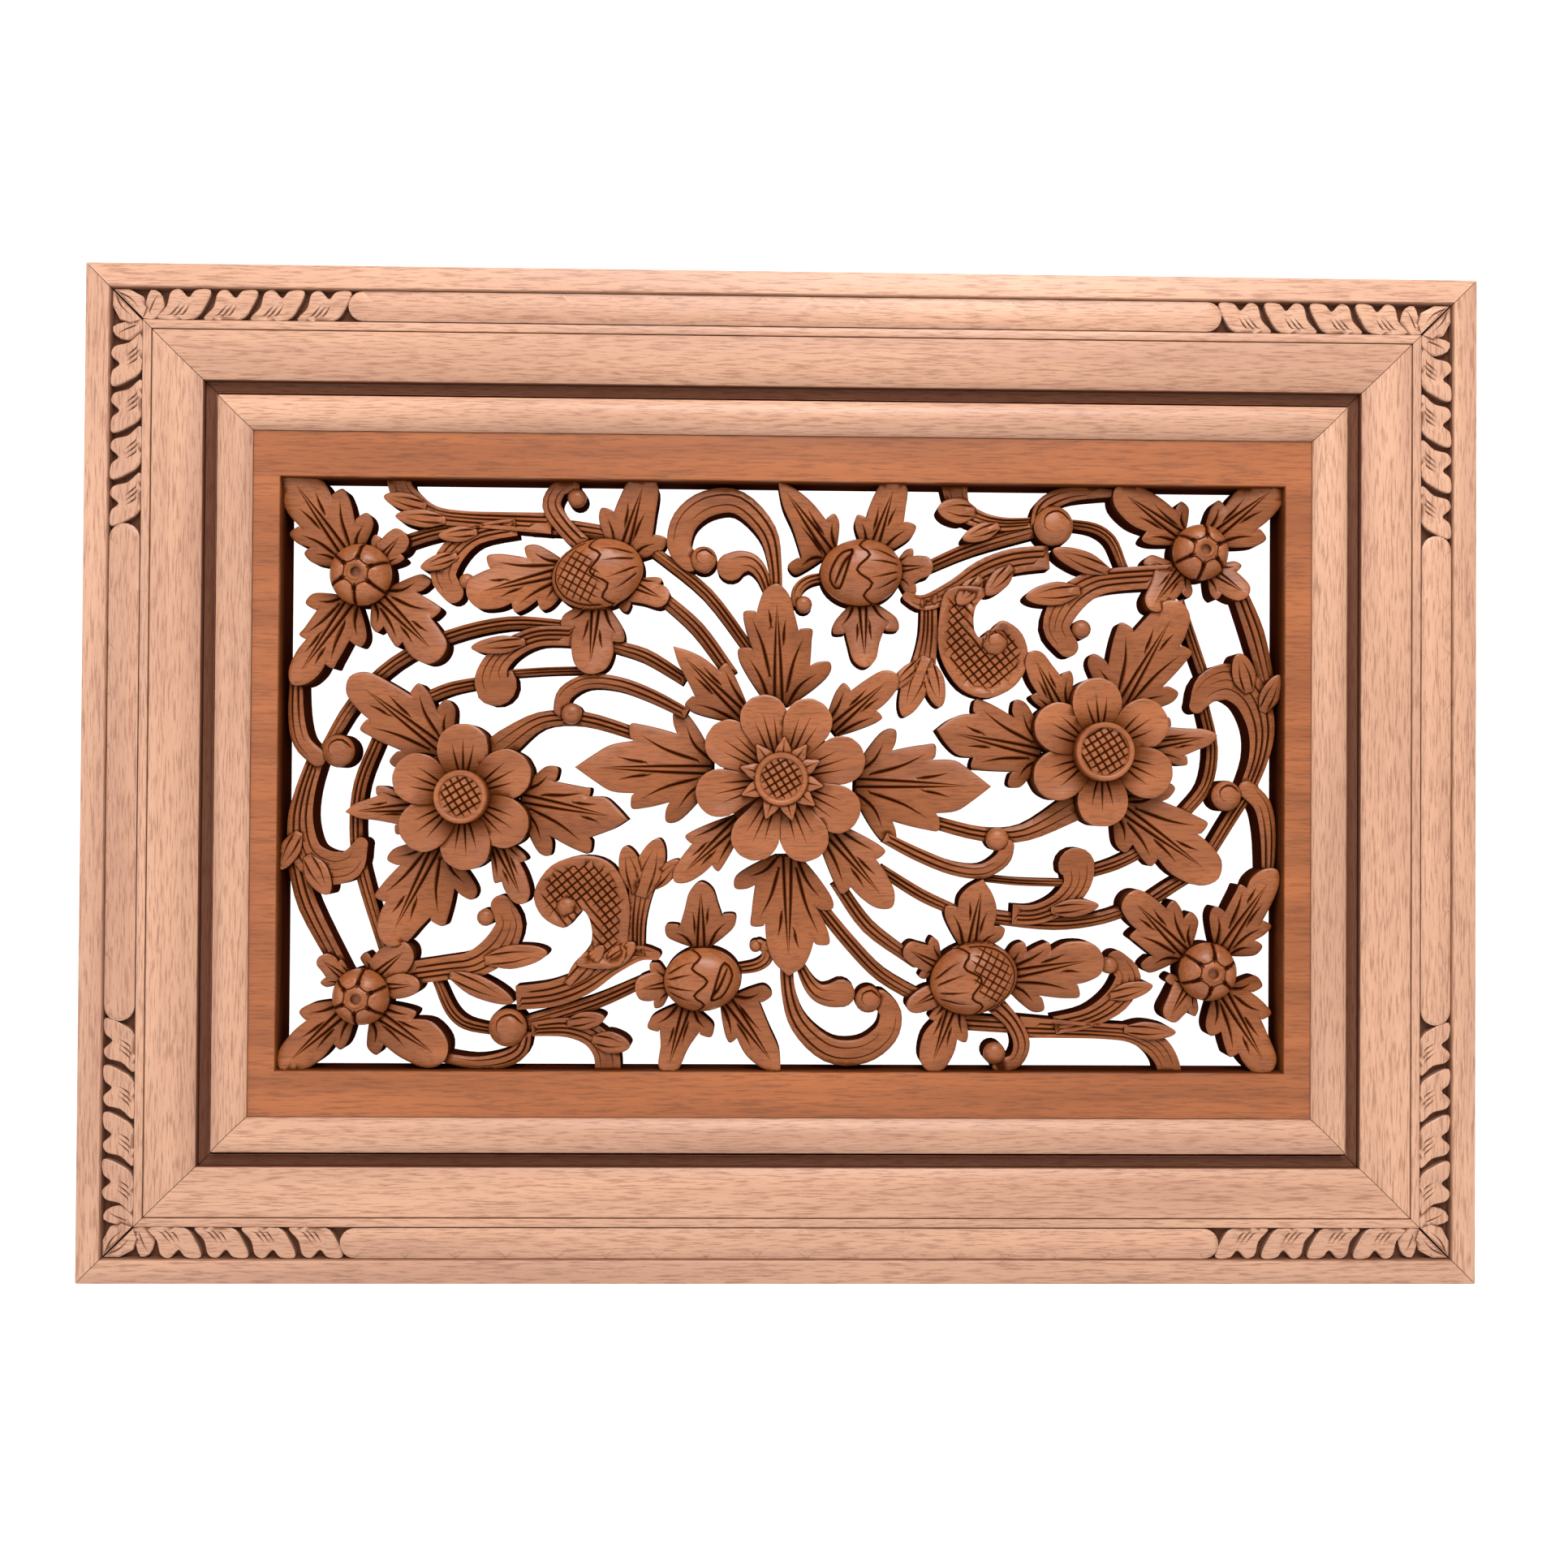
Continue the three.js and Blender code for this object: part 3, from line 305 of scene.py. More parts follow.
# stems, curls and scrolls: lines of [x, y, half width]; a scroll has leaflets [base, tip, half width] too
stems = [
    [[-20, 68, 3], [-40, 94, 3.2], [-64, 113, 2.8]],
    [[-30, 56, 3.6], [-45, 76, 3.8], [-62, 91, 3.4]],
    [[-55, 52, 3.2], [-72, 62, 3.6], [-90, 67, 3]],
    [[-78, 22, 3.4], [-103, 29, 3.8], [-125, 28, 4.5], [-142, 17, 7]],
    [[-116, 77, 3], [-142, 78, 3.4], [-172, 71, 3.4], [-200, 57, 3.4], [-221, 36, 3.4], [-234, 14, 3]],
    [[-158, 47, 3], [-172, 44, 3.2], [-186, 38, 3.2]],
    [[-106, 54, 2], [-122, 53.5, 2], [-142, 52, 2]],
    [[-209, 16, 3.2], [-217, -5, 3.4], [-219, -28, 3.4], [-216, -50, 3.4], [-205, -86, 3]],
    [[-249, -46, 4.5], [-243, -68, 5], [-226, -100, 4]],
    [[206, 88, 2.6], [212, 70, 2.8], [218, 53, 2.6]],
    [[218, 36, 2.8], [222, 16, 3], [219, -3, 3], [209, -16, 3]],
    [[241, -6, 3.2], [232, -20, 3.2], [221, -38, 3]],
    [[236, 97, 4], [244, 76, 5], [250, 52, 4]],
    [[20, -68, 3.4], [35, -86, 3.6], [51, -102, 3.6], [72, -114, 3.6]],
    [[30, -58, 3.4], [44, -77, 3.8], [64, -92, 3.2]],
    [[54, -50, 3], [72, -61, 3.2], [90, -69, 2.8]],
    [[78, -23, 3.4], [103, -29, 3.8], [125, -28, 4.5], [148, -16, 7]],
    [[106, -52, 2], [122, -53.5, 2], [144, -54, 2]],
    [[110, -72, 3.6], [140, -75, 3.4], [165, -72, 3.2], [184, -65, 3]],
    [[156, -49, 3], [172, -44, 3.2], [186, -37, 3.2]],
    [[190, -63, 3.4], [202, -55, 3.4], [214, -48, 3]],
    [[92, -126, 4], [108, -127, 4], [126, -128, 4]],
    [[72, 108, 3], [97, 119, 3.6], [130, 129, 4]],
    [[-72, -106, 3], [-97, -117, 3.6], [-132, -128, 4]],
    [[146, 132, 2.4], [160, 130, 2.6], [169, 124, 2.6], [174, 113, 2.4]],
    [[-148, -131, 2.4], [-162, -128, 2.8], [-170, -121, 2.8], [-176, -108, 2.4]],
    [[-196, 119, 3.4], [-180, 124, 3.4], [-160, 127, 3.4]],
    [[-126, 128, 4], [-108, 127, 4], [-88, 124, 3.6]],
]

curls = [
    [
        [-4.5, 90, 3], [-5.2, 108, 3.4], [-9.5, 126, 5], [-24, 140.5, 6], [-40, 140, 6.8],
        [-51.5, 131, 6.8], [-54.5, 118, 6.2], [-49, 110, 5.2],
    ],
    [
        [2, -90, 3.2], [3, -110, 3.6], [9, -127, 5], [24, -140, 6.3], [41, -140.5, 6.5], [53, -132, 6.2],
        [55.5, -121, 5.6], [50, -114, 5],
    ],
    [[-8.5, 94, 2], [-12, 104, 3.4], [-17, 109.5, 4.6], [-23, 110, 6], [-28, 107.5, 7.2]],
    [[8, -95, 2], [13, -105, 3.4], [18, -110.5, 4.6], [24, -112, 6], [30, -111, 7.2]],
    [[21, 103, 2], [12, 101, 2.6], [6.5, 96, 2.8], [6, 90, 3]],
    [[-23, -99, 2.4], [-14, -97.5, 2.8], [-8.5, -94, 3], [-8, -89, 3], [-12, -86, 2.6]],
    [[-104, 118, 4.5], [-113, 127, 4.5], [-120, 138, 4.8], [-116, 147, 4.2], [-109, 148, 3.4]],
    [[109, -116, 5], [118, -125, 4], [123, -136, 4.3], [120, -145, 3.8], [112, -148, 4]],
    [[129.5, 130, 3], [132, 139, 4], [139, 144, 4.5], [150, 147, 3.5], [172, 147.5, 1.8]],
    [[-131, -131, 3], [-134, -141, 4], [-144, -146, 4], [-158, -147, 3], [-175, -144, 2.5]],
    [[-249, 52, 3], [-249, 30, 4], [-246, 16, 4.5], [-238, 8, 4.5]],
    [[250, -48, 3], [250, -28, 4], [247, -13, 4.5], [239, -5, 4.5]],
    [[-50, 32, 2.8], [-68, 41, 3.4], [-85, 47, 3.6], [-101, 48, 3.8], [-112, 42, 4], [-114.5, 34, 3.8]],
    [[52, -31, 2.8], [70, -40, 3.4], [87, -46.5, 3.6], [102, -48, 3.8], [112.5, -42, 4], [115, -35, 3.8]],
]

scrolls = [
    [
        [
            [-120, 129, 5.5], [-145, 130, 4.5], [-165, 131, 4], [-180, 133, 4.5], [-191, 139, 6],
            [-197, 146, 6], [-198, 154, 6],
        ],
        [[[-184, 137], [-205, 141.5], 4.5], [[-174, 130], [-199, 131.5], 4.5]],
    ],
    [
        [[-138, 127, 4.5], [-158, 123, 5], [-170, 114, 6.5], [-175, 102, 6.5], [-170, 93, 5.5]],
        [[[-158, 124], [-177, 121.5], 4], [[-168, 112], [-186, 105], 4]],
    ],
    [
        [
            [122, -128, 5.5], [145, -129, 4.5], [165, -130, 4], [180, -131.5, 4.5], [192, -137, 6],
            [198, -145, 6], [200, -154, 6],
        ],
        [[[176, -129], [202, -130], 4.5]],
    ],
    [
        [[140, -127, 4.5], [158, -123, 5], [172, -114, 6.5], [178, -102, 6.5], [172, -94, 5.5]],
        [[[168, -112], [190, -106], 4.5]],
    ],
    [
        [[-108, 71, 5], [-125, 71, 5], [-138, 66, 5.5], [-147, 58, 6.5], [-150, 50, 8.5], [-148, 46, 11]],
        [[[-133, 68], [-160, 64.5], 4.5]],
    ],
    [
        [[118, -70, 5], [130, -70, 5], [142, -65, 5.5], [150, -57, 6.5], [152, -50, 8], [151, -45, 9.5]],
        [[[138, -68], [162, -65], 4.5]],
    ],
    [
        [[128, 132, 2.5], [112, 131, 3.5], [99, 133.5, 4.5], [89.5, 140, 5.5], [86.5, 154, 7]],
        [[[110, 130], [91, 122.5], 4.5], [[98, 137], [78, 138], 6.5]],
    ],
    [
        [[-128, -130, 3.5], [-110, -129, 5], [-97, -133, 6], [-90, -142, 6.5], [-89, -154, 6.5]],
        [[[-110, -127], [-90.5, -123.5], 4.5], [[-97, -135], [-77.5, -138], 5.5]],
    ],
    [
        [[136, 114, 6], [118, 112, 6.5], [102, 106, 6.5], [88, 97, 5.5], [72, 90, 4], [63, 93, 2.5]],
        [[[117, 109], [103, 94], 5], [[101, 103], [88.5, 89], 5]],
    ],
    [
        [
            [-136, -114, 6], [-118, -112, 6.5], [-102, -106, 6.5], [-88, -97, 5.5], [-74, -91, 4],
            [-65, -92, 2.5],
        ],
        [[[-110, -107], [-91.5, -87], 5], [[-91, -98], [-75.5, -85.5], 5]],
    ],
    [
        [[200, 105, 6], [172, 103, 6], [158, 100, 7], [146, 91, 8], [140, 78, 7], [146, 68, 5.5]],
        [[[167, 107], [137.5, 117.5], 5.5], [[152, 97], [123.5, 93], 6]],
    ],
    [
        [[-199, -103, 6], [-172, -99, 6], [-158, -97, 7], [-146, -89, 8], [-140, -77, 7], [-144, -67, 5.5]],
        [[[-170, -102], [-137, -116], 5.5], [[-152, -95], [-120, -90.5], 6]],
    ],
    [
        [
            [-238, 10, 4], [-244, -8, 5], [-246.5, -25, 6.5], [-243, -41, 8], [-232, -48, 8.5],
            [-221, -46, 7.5], [-215.5, -36, 3.5],
        ],
        [[[-243, -42], [-231, -61.5], 6], [[-247, -30], [-256, -49], 5]],
    ],
    [
        [
            [238, -8, 4], [245, 10, 5], [246.5, 27, 7], [241, 43, 9], [230, 50.5, 9.5], [219, 47, 8],
            [213, 38, 4],
        ],
        [[[240, 45], [233.5, 65], 6], [[247, 35], [255, 54], 5]],
    ],
    [
        [[74, 94, 4], [74, 75, 4.5], [72, 60, 6], [70, 52, 8]],
        [[[73, 62], [61, 31], 7], [[74, 60], [80, 36], 5.5], [[70, 60], [54.5, 45], 4]],
    ],
    [
        [[-75, -92, 4], [-75, -75, 4.5], [-73, -60, 6], [-71, -52, 8]],
        [[[-73, -62], [-63.5, -32], 7.5], [[-75, -60], [-81, -36], 6], [[-68, -58], [-53.5, -43], 4.5]],
    ],
]

commas = [
    [
        [84, 97], [79, 80], [80, 62], [90, 46], [104, 41], [118, 47], [125, 60], [122, 74], [112, 81],
        [106, 76], [100, 72], [97, 78], [98, 88], [104, 97],
    ],
    [
        [-83, -97], [-79, -80], [-79, -62], [-87, -46], [-101, -41], [-118, -46], [-127, -60], [-123, -72],
        [-112, -78], [-106, -73], [-102, -69], [-98, -76], [-98, -86], [-105, -97],
    ],
]

# balls and berries: [x, y, radius]; buds: [x, y, half length, half width, angle]
curlBalls = [
    [-42, 111, 7], [44, -114, 7], [9.5, 88.5, 4.5], [-14, -87, 3.2], [-107, 142, 5], [109, -141.5, 5.8],
    [138, 130, 10.5], [-140, -129, 10], [-227, 11.5, 8.5], [228, -8.5, 8], [-109, 31.5, 5.5],
    [110, -31.5, 6], [108, 70, 7], [-110.5, -67.5, 5.5], [-163, 99, 4], [168, -96, 4.5], [153, 77, 5],
    [-152, -73, 4.5],
]

flowers = [
    {
        "middle": [-1.5, -1.5],
        "disc": 13.5,
        "angles": [18, 65, 106, 146, 193, 246, 292, 332],
        "reach": 44,
        "halfWidth": 12.5,
    },
    {
        "middle": [-162.7, -11.5],
        "disc": 13.5,
        "angles": [90, 28, -32, -86, 218, 158],
        "reach": 37,
        "halfWidth": 13,
    },
    {
        "middle": [162.5, 13.5],
        "disc": 15,
        "angles": [97, 35, -25, -90, 208, 151],
        "reach": 38,
        "halfWidth": 13,
    },
]

starAngles = [86, 126, 164, 202, 249, 285, 322, 351, 26, 54]

berries = [[-216.5, 101.5, 15.8], [214, 117, 14.5], [-214.5, -113.5, 14.5], [218.5, -99, 15]]

buds = [
    [-96, 103, 24, 18, 195], [98, -103, 23, 18.5, 15], [39, 105, 21.5, 17.5, 185],
    [-41, -104, 20, 16.5, 5],
]


# the forms of the relief

forms = []

# how high the forms lie above the panel's back
heights = {
    "leaf": [13, 18.5],  # at its base and its tip
    "leaflet": [14, 16.5],
    "stem": 11.5,
    "curl": 14.5,
    "scroll": 13.5,
    "comma": 16,
    "calyx": 18.4,
    "petal": 19,
    "disc": 25.2,
    "star": 24.9,
    "ball": 13,
    "berry": 14,
    "bud": 13,
}

# how dark stain and painted shade lie where a form starts, under what it grows from, and over what share of its
# length they fade
shades = {"leaf": [0.5, 0.35], "petal": [0.55, 0.3], "calyx": 0.6}


def even(value):
    return lambda points: np.full(len(points), value)


def addForm(outline, level, cuts=(), **options):
    forms.append(carve(outline, level, list(cuts), **options))


def placer(base, tip):
    # from [along, across] to the panel, and back
    base, tip = np.array(base, float), np.array(tip, float)
    length = np.linalg.norm(tip - base)
    along = (tip - base) / length
    across = np.array([-along[1], along[0]])

    def place(points):
        local = np.array(points, float).reshape(-1, 2)
        return base + local[:, :1] * along + local[:, 1:] * across

    def local(points):
        return np.stack([(points - base) @ along, (points - base) @ across], 1)

    return length, place, local


def leafArcs(length, endWidth, pointed, lobes):
    # one side of a leaf as smooth arcs that meet at the notches
    arcs = []
    start = [0, max(3.0, min(endWidth * 0.55, 6))]
    for share, reach in lobes:
        tip = np.array([share * length, reach])
        toTip = tip - [share * length - 0.9 * reach, 0]
        toTip /= np.linalg.norm(toTip)
        tipRadius = min(4.2, 0.24 * reach)
        centre = tip - tipRadius * toTip
        rear = centre + tipRadius * np.array([-toTip[1], toTip[0]])
        front = centre + tipRadius * np.array([toTip[1], -toTip[0]])
        notch = [tip[0] - 0.04 * reach - 0.5, 0.62 * reach]
        bulge = [0.45 * start[0] + 0.55 * rear[0] - 0.03 * reach, 0.42 * start[1] + 0.58 * rear[1]]
        arcs.append([start, bulge, rear, tip, front, notch])
        start = notch
    rest = length - start[0]
    if not lobes:
        start = [0, endWidth * 0.35]
    shoulder = [length - (0.16 + 0.17 * pointed) * rest, endWidth * (0.74 - 0.16 * pointed)]
    arcs.append([start, [start[0] + 0.38 * rest, endWidth], shoulder, [length, 0]])
    return arcs


def leafOutline(length, endWidth, pointed, leftLobes, rightLobes, steps=4):
    sides = []
    for sign, lobes in ((-1, rightLobes), (1, leftLobes)):
        side = []
        for arc in leafArcs(length, endWidth, pointed, lobes):
            points = [list(p) for p in arc]
            last = points[-1] == [length, 0]
            if last and pointed < 0.5:
                points.append([points[-2][0], -points[-2][1]])
                made = spline(points, steps)[: 3 * steps + 1]
            else:
                made = spline(points, steps)
            side += list(made if not side else made[1:])
        sides.append(np.array(side) * [1, sign])
    return np.vstack([sides[0], sides[1][::-1][1:]])


def leafCuts(length, endWidth, leftLobes, rightLobes, place):
    size = min(1.0, 0.5 + length / 90)
    halfWidth, depth = 1.2 * size, 1.6 * size
    cuts = []
    for side, lobes in ((1, leftLobes), (-1, rightLobes)):
        rib = [[0.02 * length, 1.7 * size + 0.3], [0.4 * length, 1.4 * size], [0.84 * length, 0.1]]
        cuts.append(groove(place(spline(rib, 5) * [1, side]), 0.9 * halfWidth, depth, 0.8))
        for k, (share, reach) in enumerate(lobes):
            tip = np.array([share * length, reach])
            root = np.array([share * length - 0.9 * reach, 0])
            startAlong = max((0.02 + 0.1 * k) * length, share * length - 1.9 * reach)
            start = np.array([startAlong, 3.0 + 0.08 * reach])
            end = root + 0.76 * (tip - root)
            bend = 0.5 * (start + end) + [0.07 * reach, -0.05 * reach]
            cuts.append(groove(place(spline([start, bend, end], 4) * [1, side]), halfWidth, depth, 0.6))
        last = lobes[-1] if lobes else [0.1, endWidth * 0.4]
        if length > 28:
            start = [(last[0] - 0.12) * length, 3.2]
            end = [(0.55 * last[0] + 0.37) * length, 0.5 * endWidth]
            middle = [0.5 * (start[0] + end[0]), 0.45 * (start[1] + end[1])]
            line = spline([start, middle, end], 4) * [1, side]
            cuts.append(groove(place(line), 0.85 * halfWidth, 0.85 * depth, 0.5))
    return cuts


def addLeaf(base, tip, endWidth, pointed, leftLobes, rightLobes):
    length, place, local = placer(base, tip)
    low, high = heights["leaf"]

    def level(points):
        at = local(points)
        return low + (high - low) * at[:, 0] / length - 0.14 * np.abs(at[:, 1])

    outline = place(leafOutline(length, endWidth, pointed, leftLobes, rightLobes))
    # painted shade with stain, darkest at the leaf's base
    def shade(points):
        dark, fade = shades["leaf"]
        return dark * np.clip(1 - local(points)[:, 0] / (fade * length), 0, 1)

    addForm(outline, level, leafCuts(length, endWidth, leftLobes, rightLobes, place), shade=shade)


def addLeaflet(base, tip, endWidth):
    length, place, local = placer(base, tip)
    outline = place(leafOutline(length, endWidth, 0.2, [], []))
    cuts = []
    for sign in (-0.42, 0.42):
        line = spline([[0.05 * length, sign * endWidth * 0.9], [0.45 * length, sign * endWidth],
                       [0.82 * length, sign * endWidth * 0.3]], 4)
        cuts.append(groove(place(line), 0.7, 0.9, 0.5))
    low, high = heights["leaflet"]
    addForm(outline, lambda points: low + (high - low) * local(points)[:, 0] / length, cuts, spacing=3)


def ribbonOutline(centre):
    heading = np.gradient(centre[:, :2], axis=0)
    heading /= np.linalg.norm(heading, axis=1)[:, None]
    left = np.stack([-heading[:, 1], heading[:, 0]], 1) * centre[:, 2:3]
    x, y, halfWidth = centre[-1]
    angle = math.atan2(heading[-1][1], heading[-1][0])
    turns = angle + math.pi * (np.arange(1, 8) / 8 - 0.5)
    cap = np.stack([x + halfWidth * np.cos(turns), y + halfWidth * np.sin(turns)], 1)
    return np.vstack([centre[:, :2] - left, cap, (centre[:, :2] + left)[::-1]])


def offsetLine(centre, share, start, end):
    heading = np.gradient(centre[:, :2], axis=0)
    heading /= np.linalg.norm(heading, axis=1)[:, None]
    left = np.stack([-heading[:, 1], heading[:, 0]], 1) * centre[:, 2:3]
    line = centre[:, :2] + share * left
    first, last = int(start * (len(line) - 1)), int(end * (len(line) - 1))
    return line[first : last + 1]


def addBand(points, level, hollow, flutes, halfWidth=0.8, depth=1.0, tuck=0):
    # flutes: [share of the half width, start, end] of each line along the band
    # tuck: how far the band's ends run in under what they join
    centre = spline(points, 4)
    for end, inner in ((0, 1), (-1, -2)):
        step = centre[end][:2] - centre[inner][:2]
        reach = [*(centre[end][:2] + step / np.linalg.norm(step) * tuck), centre[end][2]]
        if tuck:
            centre = np.vstack([[reach], centre] if end == 0 else [centre, [reach]])
    outline = ribbonOutline(centre)
    centreLine = centre[:, :2]

    def height(spots):
        distance, share, side = alongLine(spots, centreLine)
        width = np.interp(share, np.linspace(0, 1, len(centre)), centre[:, 2])
        return level + hollow * (np.clip(distance / width, 0, 1.2) ** 2 - 0.5)

    cuts = [
        groove(offsetLine(centre, share, start, end), halfWidth, depth, 0.8, 0.3)
        for share, start, end in flutes
    ]
    addForm(outline, height, cuts)


def circle(x, y, radius, count, start=0.0, sweep=2 * math.pi):
    turns = start + sweep * np.arange(count) / count
    return np.stack([x + radius * np.cos(turns), y + radius * np.sin(turns)], 1)


def ring(x, y, radius, count):
    return np.vstack([circle(x, y, radius, count), circle(x, y, radius, 1)])


ballLook = {"rise": 1.5, "roundness": 0.45, "hookFrom": 6}  # the smallest radius that has a hooked groove


def addBall(x, y, radius):
    top = ballLook["rise"] + radius * ballLook["roundness"]

    def level(points):
        away = np.linalg.norm(points - [x, y], axis=1) / radius
        return heights["ball"] + top * np.sqrt(np.clip(1 - away**2, 0, 1))

    cuts = []
    if radius > ballLook["hookFrom"]:
        hook = spline([[x + radius * r * math.cos(t), y + radius * r * math.sin(t)]
                       for t, r in ((0.3, 0.8), (1.3, 0.72), (2.4, 0.62), (3.5, 0.5), (4.6, 0.36))], 3)
        cuts.append(groove(hook, 0.8, 1.0, 0.6))
    outline = circle(x, y, radius, max(12, int(radius * 3)))
    addForm(outline, level, cuts, spacing=radius / 3, rounding=0.2, rings=(0.3, 1.0))


def petalOutline(tip, halfWidth, steps=3):
    half = [[8, 4.5], [tip - 2 * halfWidth + 2, halfWidth * 0.72], [tip - halfWidth * 1.1, halfWidth * 0.98],
            [tip - halfWidth * 0.42, halfWidth * 0.83], [tip - 0.06 * halfWidth, halfWidth * 0.38]]
    every = [[r, -s] for r, s in half] + [[tip, 0]] + [[r, s] for r, s in half[::-1]]
    return spline(every, steps)


def addPetal(middle, angle, tip, halfWidth, disc):
    turn = math.radians(angle)
    toward = [middle[0] + math.cos(turn), middle[1] + math.sin(turn)]
    place, local = placer(middle, toward)[1:]

    def level(points):
        at = local(points)
        return heights["petal"] + 0.055 * at[:, 0] + 0.0105 * at[:, 1] ** 2 + 0.035 * at[:, 1]

    cuts = []
    for sign, reach in ((-1, 0.74), (0, 0.82), (1, 0.74)):
        spread = sign * halfWidth * 0.42
        line = spline([[disc - 1, sign * 2.2], [0.55 * tip, spread * 0.75], [reach * tip, spread]], 4)
        cuts.append(groove(place(line), 0.75, 1.0, 0.9))
    # painted shade with stain, darkest at the petal's base by the disc
    def shade(points):
        dark, fade = shades["petal"]
        return dark * np.clip(1 - (local(points)[:, 0] - disc) / (fade * tip), 0, 1)

    addForm(place(petalOutline(tip, halfWidth)), level, cuts, spacing=3.2, shade=shade)


def hatching(x, y, radius, spacing, turn, halfWidth=0.6, depth=0.7, keep=None):
    # two sets of crossing lines that fill a round field
    cuts = []
    for angle in (turn, turn + math.pi / 2):
        along = np.array([math.cos(angle), math.sin(angle)])
        across = np.array([-along[1], along[0]])
        count = int(radius // spacing)
        for k in range(-count, count + 1):
            half = math.sqrt(max(radius**2 - (k * spacing) ** 2, 0)) - 0.3
            if half < spacing * 0.6:
                continue
            line = evenly([np.array([x, y]) + across * k * spacing - along * half,
                           np.array([x, y]) + across * k * spacing + along * half], 1.2)
            if keep is not None:
                line = line[keep(line)]
            if len(line) > 2:
                cuts.append(groove(line, halfWidth, depth, 0.5, 0.9))
    return cuts


discLook = {"rim": 3, "pitch": 3.6, "turn": 32, "lineWidth": 0.75, "lineDepth": 0.9}


def addDisc(x, y, radius):
    field = radius - discLook["rim"]

    def level(points):
        away = np.linalg.norm(points - [x, y], axis=1)
        rim = 25.6 + 1.4 * np.sqrt(np.clip(1 - ((away - radius + 1.3) / 1.6) ** 2, 0, 1))
        dome = heights["disc"] + 1.4 * (1 - np.clip(away / field, 0, 1) ** 2)
        return np.where(away > field, rim, dome)

    turn = math.radians(discLook["turn"])
    cuts = hatching(x, y, field - 0.2, discLook["pitch"], turn, discLook["lineWidth"], discLook["lineDepth"])
    guides = [ring(x, y, r, 36) for r in (field, field + 0.5, field + 1.6)]
    addForm(circle(x, y, radius, 48), level, cuts, guides=guides, spacing=2.8, rounding=0.5, rings=(0.6,))


def addStar(middle, angle):
    turn = math.radians(angle)
    place, local = placer(middle, [middle[0] + math.cos(turn), middle[1] + math.sin(turn)])[1:]
    half = [[9, -4.6], [15, -3.8], [18.6, -1.9]]
    outline = place(spline(half + [[21.5, 0]] + [[a, -s] for a, s in half[::-1]], 3))
    cuts = [groove(place([[12, 0], [20.5, 0]]), 0.6, 0.7, 1)]

    def level(points):
        return heights["star"] - 0.12 * np.abs(local(points)[:, 1])

    addForm(outline, level, cuts, spacing=2.4, rounding=0.4, rings=(0.5,))


berryLook = {"eye": 4.8, "hole": 2.8, "lobes": 6}  # radii of the raised eye and of the hole in it


def addBerry(x, y, radius):
    eye, hole = berryLook["eye"], berryLook["hole"]

    def level(points):
        away = np.linalg.norm(points - [x, y], axis=1)
        fall = np.clip(away - 3.5, 0, 99) / (radius - 3.4)
        body = heights["berry"] + 10.6 * np.clip(1 - fall**2.3, 0, 1) ** 0.6
        rim = 24.2 + 1.8 * np.sqrt(np.clip(1 - ((away - 3.8) / 1.25) ** 2, 0, 1))
        return np.where(away < hole - 0.3, 22, np.where(away < eye + 0.3, rim, body))

    cuts = []
    for k in range(berryLook["lobes"]):
        turn = k * 2 * math.pi / berryLook["lobes"] + 0.4
        reaches = np.linspace(eye + 1.6, radius - 0.6, 5)
        line = [[x + r * math.cos(turn), y + r * math.sin(turn)] for r in reaches]
        cuts.append(groove(line, 1.5, 1.7, 0.6, 0.9))
        for side in (-1, 1):
            arc = [[x + r * math.cos(turn + side * t), y + r * math.sin(turn + side * t)]
                   for r, t in ((eye + 3.6, 0.04), (eye + 1.9, 0.16), (eye + 1.2, 0.36), (eye + 1.1, 0.52))]
            cuts.append(groove(spline(arc, 2), 0.7, 0.8, 0.8, 0.8))
    guides = [ring(x, y, r, 24) for r in (hole - 0.35, hole - 0.2, 3.8, eye + 0.2, eye + 0.4)]
    outline = circle(x, y, radius, 40)
    addForm(outline, level, cuts, guides=guides, spacing=2.4, rounding=0.2, rings=(0.35, 1.1))


